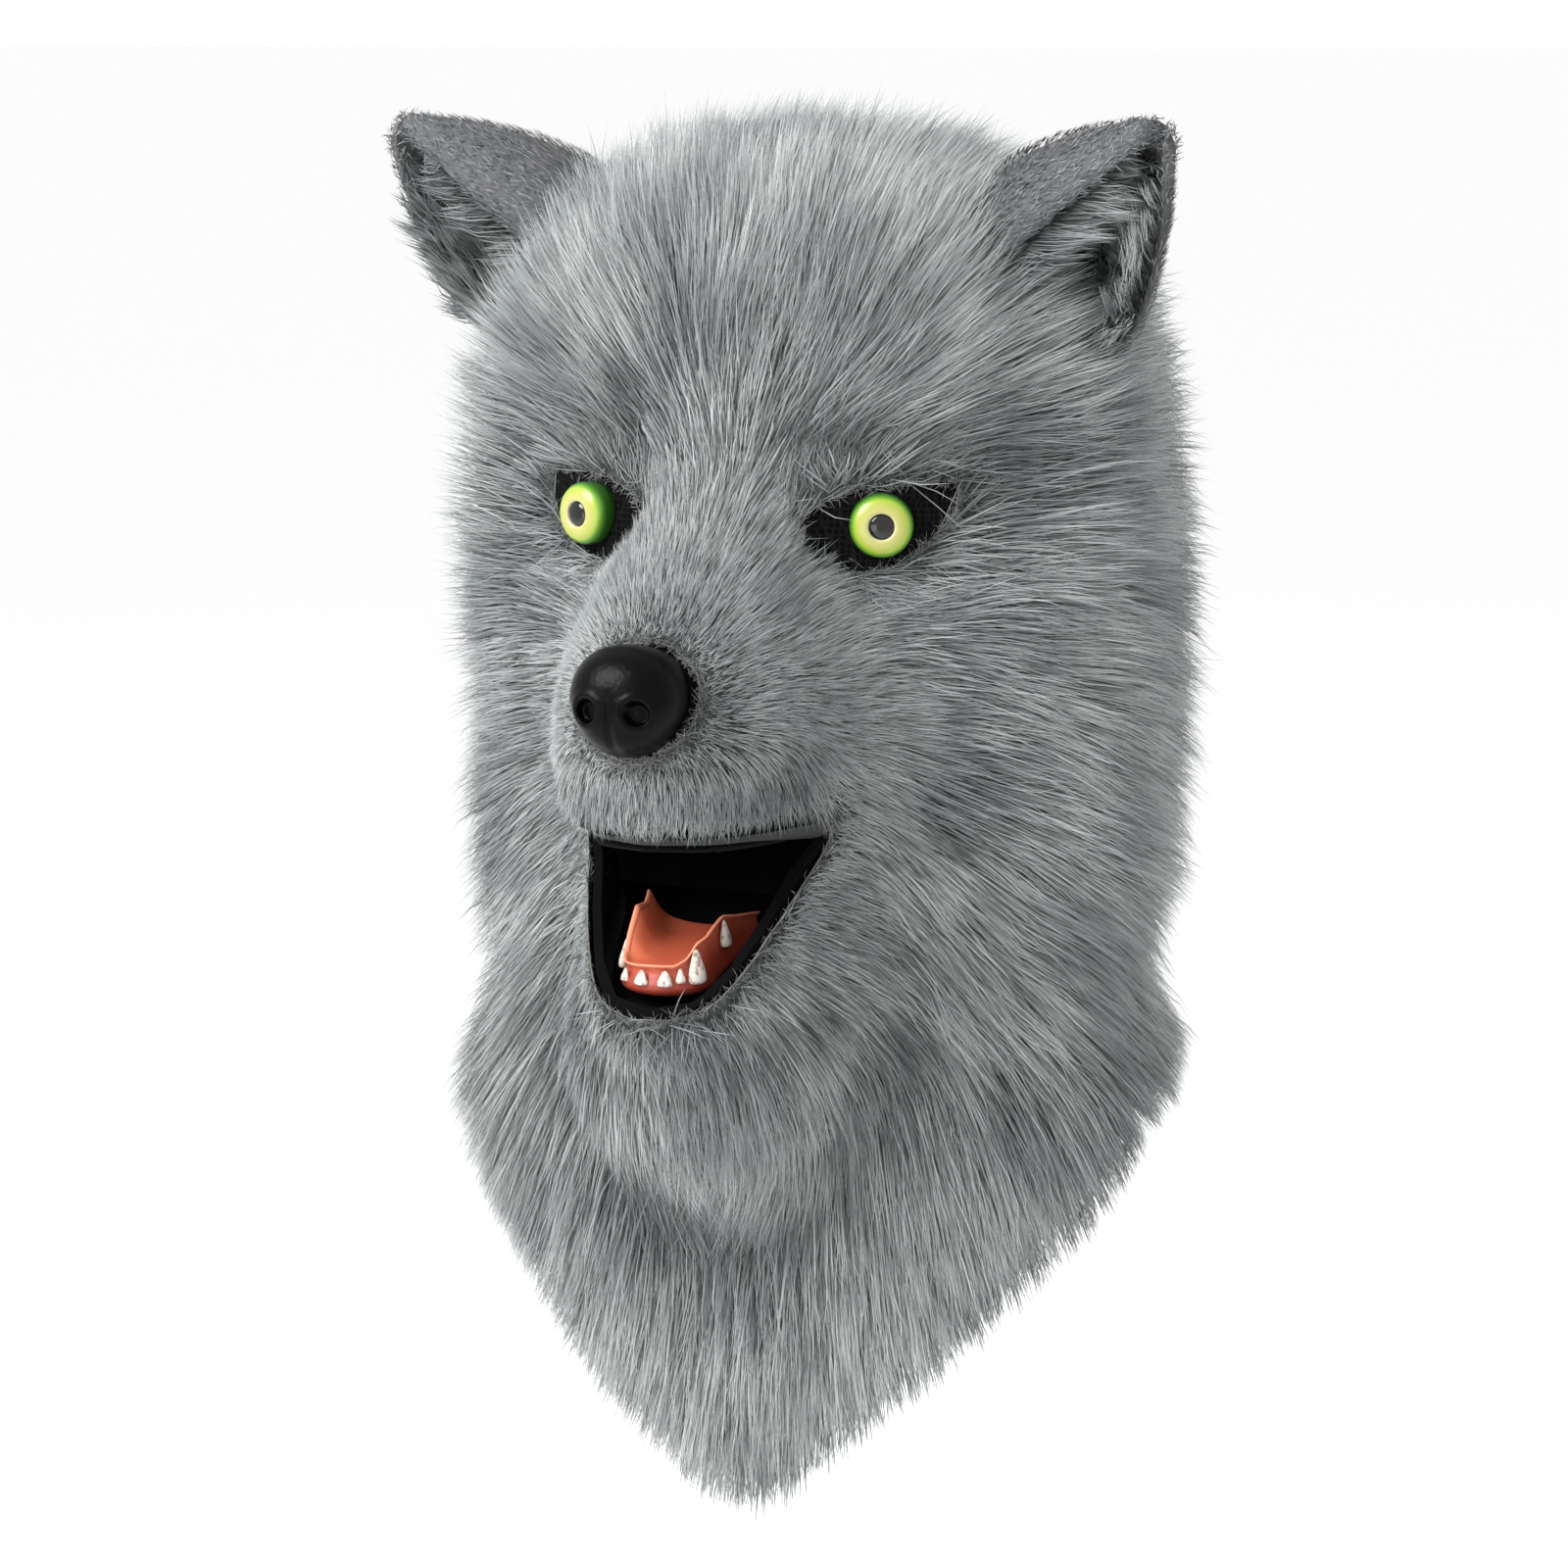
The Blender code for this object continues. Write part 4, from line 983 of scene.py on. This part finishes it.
def rim_height(place_on_rim):
    return float(np.interp(place_on_rim, [r[0] for r in RIM_ROWS], [r[1] for r in RIM_ROWS]))


def rim_path(t):
    """The rim's place from above, and the way out from it; t runs from -1 at the left back to 1."""
    sign = math.copysign(1, t)
    if abs(t) < 0.5:
        turn = t * math.pi
        spot = Vector((TRAY_HALF * math.sin(turn), TRAY_TURN_Y - TRAY_NOSE * math.cos(turn), 0))
        out = Vector((math.sin(turn), -math.cos(turn), 0))
    else:
        k = (abs(t) - 0.5) / 0.5
        spot = Vector((sign * (TRAY_HALF + TRAY_FLARE * k * k), TRAY_TURN_Y + TRAY_BACK * k, 0))
        out = Vector((sign, -0.3 * k, 0)).normalized()
    return spot + Vector((TRAY_MIDDLE_X, 0, 0)), out


def liner_point(t, row):
    """A point of the sheet: row 0 is its outer foot, the middle rows its rim, the last its floor."""
    spot, out = rim_path(t)
    rim = rim_height(t)
    back = max(abs(t) - 0.5, 0) / 0.5
    foot = GUM_FOOT + 0.011 * back
    floor_ends = (TRAY_TURN_Y - 0.008, TRAY_TURN_Y + TRAY_BACK)
    floor_z = float(np.interp(spot.y, floor_ends, (FLOOR_FRONT, FLOOR_BACK)))
    table = [
        (-0.0045, foot - 0.0006), (-0.0010, foot), (0.0014, foot + 0.0016), (0.0016, foot + 0.0036),
        (0.0008, foot + 0.0052), (-0.0012, rim - 0.0030), (-0.0008, rim - 0.0010),
        (0.0009, rim - 0.0003), (0.0006, rim + 0.0004), (-0.0005, rim + 0.0002),
        (-0.0014, rim - 0.0016), (-0.0036, 0.45 * rim + 0.55 * floor_z), (-0.0070, floor_z + 0.0014),
    ]
    if row < len(table):
        offset, height_now = table[row]
        point = spot + out * offset
        point.z = max(height_now, foot - 0.0006) if row < 6 else height_now
        return point
    return Vector((TRAY_MIDDLE_X, max(spot.y, TRAY_TURN_Y - 0.004), floor_z))


bm = bmesh.new()
grid = []
for i in range(LINER_PLACES):
    t = -1 + 2 * i / (LINER_PLACES - 1)
    grid.append([bm.verts.new(liner_point(t, row)) for row in range(LINER_ROWS)])
layer = bm.loops.layers.uv.new("liner")
for i in range(LINER_PLACES - 1):
    for row in range(LINER_ROWS - 1):
        corners = ((i, row), (i + 1, row), (i + 1, row + 1), (i, row + 1))
        face = bm.faces.new([grid[a][b] for a, b in corners])
        for loop, (a, b) in zip(face.loops, corners):
            loop[layer].uv = (a / (LINER_PLACES - 1), b / (LINER_ROWS - 1))
bmesh.ops.remove_doubles(bm, verts=bm.verts, dist=MERGE_GAP)
bmesh.ops.recalc_face_normals(bm, faces=bm.faces)
gum_vinyl = new_material("sprayed_orange_vinyl_painted_highlight_shade", "#cc7050", 0.42, Specular_IOR_Level=0.35)
lay = add_node(gum_vinyl, "ShaderNodeUVMap", settings=[("uv_map", "liner")])
split = add_node(gum_vinyl, "ShaderNodeSeparateXYZ", links=[("Vector", lay, "UV")])
place = add_node(gum_vinyl, "ShaderNodeTexCoord")
spray = add_node(
    gum_vinyl,
    "ShaderNodeTexNoise",
    links=[("Vector", place, "Object")],
    inputs=[("Scale", 260.0), ("Detail", 4.0)],
)
mixed = add_node(
    gum_vinyl,
    "ShaderNodeMath",
    settings=[("operation", "MULTIPLY_ADD")],
    links=[(0, spray, "Fac"), (2, split, "Y")],
    inputs=[(1, 0.10)],
)
# By row: dark red paint at the foot, a painted highlight of light orange along the rim, then painted
# shade darkening the inside down to the floor.
gum_paint_rim_highlight_floor_shade = add_node(gum_vinyl, "ShaderNodeValToRGB", links=[("Fac", mixed, "Value")])
ramp(
    gum_paint_rim_highlight_floor_shade,
    [(0.10, "#7e2c20"), (0.38, "#9c3f2e"), (0.50, "#b85a42"), (0.60, "#e59070"), (0.74, "#e08a68"),
     (0.86, "#cc6c4b"), (1.0, "#b2553c")],
)
feed(gum_vinyl, "Base Color", gum_paint_rim_highlight_floor_shade, "Color")
add_bump(gum_vinyl, spray, "Fac", 0.12, 0.0005)
liner = add_piece("gum_liner", bm, gum_vinyl, ["jaw_liner"])
wall = liner.modifiers.new("sheet", "SOLIDIFY")
wall.thickness = SHEET
wall.offset = -1.0
rounding = liner.modifiers.new("rounding", "SUBSURF")
rounding.levels = 1
rounding.render_levels = 1

# The teeth: formed in the tray's outer face under the rim and brushed with off-white enamel, thinly
# enough that the darker vinyl shows through in places.
TOOTH_PROUD = 0.0012
TOOTH_LEAN = math.radians(7)
TOOTH_FLATNESS = 0.62
# Each tooth's kind, side, place round the rim, width, height and drop below the rim.
TOOTH_ROWS = [
    ("incisor_outer", "left", -0.245, 0.0042, 0.0046, 0.0016),
    ("incisor_inner", "left", -0.070, 0.0052, 0.0052, 0.0014),
    ("incisor_inner", "right", 0.100, 0.0052, 0.0054, 0.0014),
    ("incisor_outer", "right", 0.205, 0.0034, 0.0050, 0.0016),
    ("canine", "left", -0.50, 0.0062, 0.0105, 0.0012),
    ("canine", "right", 0.325, 0.0068, 0.0118, 0.0008),
    ("cheek", "left", -0.68, 0.0056, 0.0090, 0.0012),
    ("cheek", "right", 0.655, 0.0056, 0.0092, 0.0012),
]
enamel_paint = new_material("white_brushed_enamel", "#e4dcd2", 0.35, Specular_IOR_Level=0.4)
place = add_node(enamel_paint, "ShaderNodeTexCoord")
brushing = add_node(
    enamel_paint,
    "ShaderNodeTexNoise",
    links=[("Vector", place, "Object")],
    inputs=[("Scale", 620.0), ("Detail", 3.0)],
)
tooth_colours = add_node(enamel_paint, "ShaderNodeValToRGB", links=[("Fac", brushing, "Fac")])
ramp(tooth_colours, [(0.34, "#93786c"), (0.48, "#cbc2b8"), (0.8, "#dcd6cd")])
feed(enamel_paint, "Base Color", tooth_colours, "Color")
add_bump(enamel_paint, brushing, "Fac", 0.3, 0.0004)
for kind, side, t, wide, tall, drop in TOOTH_ROWS:
    spot, out = rim_path(t)
    bm = bmesh.new()
    bmesh.ops.create_cone(
        bm, cap_ends=True, segments=16, radius1=wide / 2, radius2=wide * 0.13, depth=tall
    )
    bmesh.ops.subdivide_edges(
        bm, edges=[e for e in bm.edges if abs(e.verts[0].co.z - e.verts[1].co.z) > tall / 2], cuts=3
    )
    for vert in bm.verts:
        up = vert.co.z / tall + 0.5
        swell = 1 + 0.30 * math.sin(math.pi * min(up * 1.15, 1))
        vert.co.x *= swell
        vert.co.y *= swell * TOOTH_FLATNESS
    turned = out.to_track_quat("Y", "Z").to_matrix().to_4x4()
    centre = spot + out * TOOTH_PROUD
    centre.z = rim_height(t) - drop - tall / 2
    lean = Matrix.Rotation(TOOTH_LEAN, 4, "X")
    bmesh.ops.transform(bm, matrix=Matrix.Translation(centre) @ turned @ lean, verts=bm.verts)
    node = f"tooth_{kind}_{side}"
    tooth = add_piece(f"painted_{node}", bm, enamel_paint, [node])
    rounding = tooth.modifiers.new("rounding", "SUBSURF")
    rounding.levels = 2
    rounding.render_levels = 2

# The studio: a pale floor far below the held-up mask, soft light from the upper left and a weaker
# fill, and the camera in front, a little to the mask's left and above.
FLOOR_Z = -0.72
FLOOR_HALF = 300.0
CAMERA_TURN = math.radians(22.0)
CAMERA_RISE = math.radians(9.5)
CAMERA_DISTANCE = 1.55
CAMERA_AIM = Vector((-0.0079, -0.0032, -0.191))
VIEW_HALF_WIDTH = 0.272
SENSOR = 36.0

pale = new_material("pale_studio_paper", "#fcfcfc", 0.9)
bm = bmesh.new()
bmesh.ops.create_grid(bm, x_segments=1, y_segments=1, size=FLOOR_HALF)
bmesh.ops.translate(bm, verts=bm.verts, vec=(0, 0, FLOOR_Z))
floor_mesh = bpy.data.meshes.new("studio_floor")
bm.to_mesh(floor_mesh)
bm.free()
floor = bpy.data.objects.new("studio_floor", floor_mesh)
floor_mesh.materials.append(pale)
bpy.context.scene.collection.objects.link(floor)

world = bpy.data.worlds.new("studio")
world.use_nodes = True
world.node_tree.nodes["Background"].inputs["Color"].default_value = (1, 1, 1, 1)
world.node_tree.nodes["Background"].inputs["Strength"].default_value = 1.0
bpy.context.scene.world = world
bpy.context.scene.view_settings.view_transform = "Standard"


def add_softbox(name, turn, rise, distance, size, power):
    """A square area light that looks at the mask's middle."""
    data = bpy.data.lights.new(name, "AREA")
    data.shape = "SQUARE"
    data.size = size
    data.energy = power
    light = bpy.data.objects.new(name, data)
    bpy.context.scene.collection.objects.link(light)
    turn, rise = math.radians(turn), math.radians(rise)
    away = Vector((math.sin(turn) * math.cos(rise), -math.cos(turn) * math.cos(rise), math.sin(rise)))
    light.location = CAMERA_AIM + away * distance
    light.rotation_euler = (CAMERA_AIM - light.location).to_track_quat("-Z", "Y").to_euler()


add_softbox("key_light", -32, 38, 1.6, 0.8, 30.0)
add_softbox("fill_light", -10, -12, 1.9, 1.2, 9.0)
add_softbox("rim_light", 190, 40, 1.8, 0.9, 8.0)

camera_data = bpy.data.cameras.new("camera")
camera = bpy.data.objects.new("camera", camera_data)
bpy.context.scene.collection.objects.link(camera)
away = Vector(
    (
        math.sin(CAMERA_TURN) * math.cos(CAMERA_RISE),
        -math.cos(CAMERA_TURN) * math.cos(CAMERA_RISE),
        math.sin(CAMERA_RISE),
    )
)
camera.location = CAMERA_AIM + away * CAMERA_DISTANCE
camera.rotation_euler = (CAMERA_AIM - camera.location).to_track_quat("-Z", "Y").to_euler()
camera_data.sensor_width = SENSOR
camera_data.lens = SENSOR / 2 / (VIEW_HALF_WIDTH / CAMERA_DISTANCE)
bpy.context.scene.camera = camera
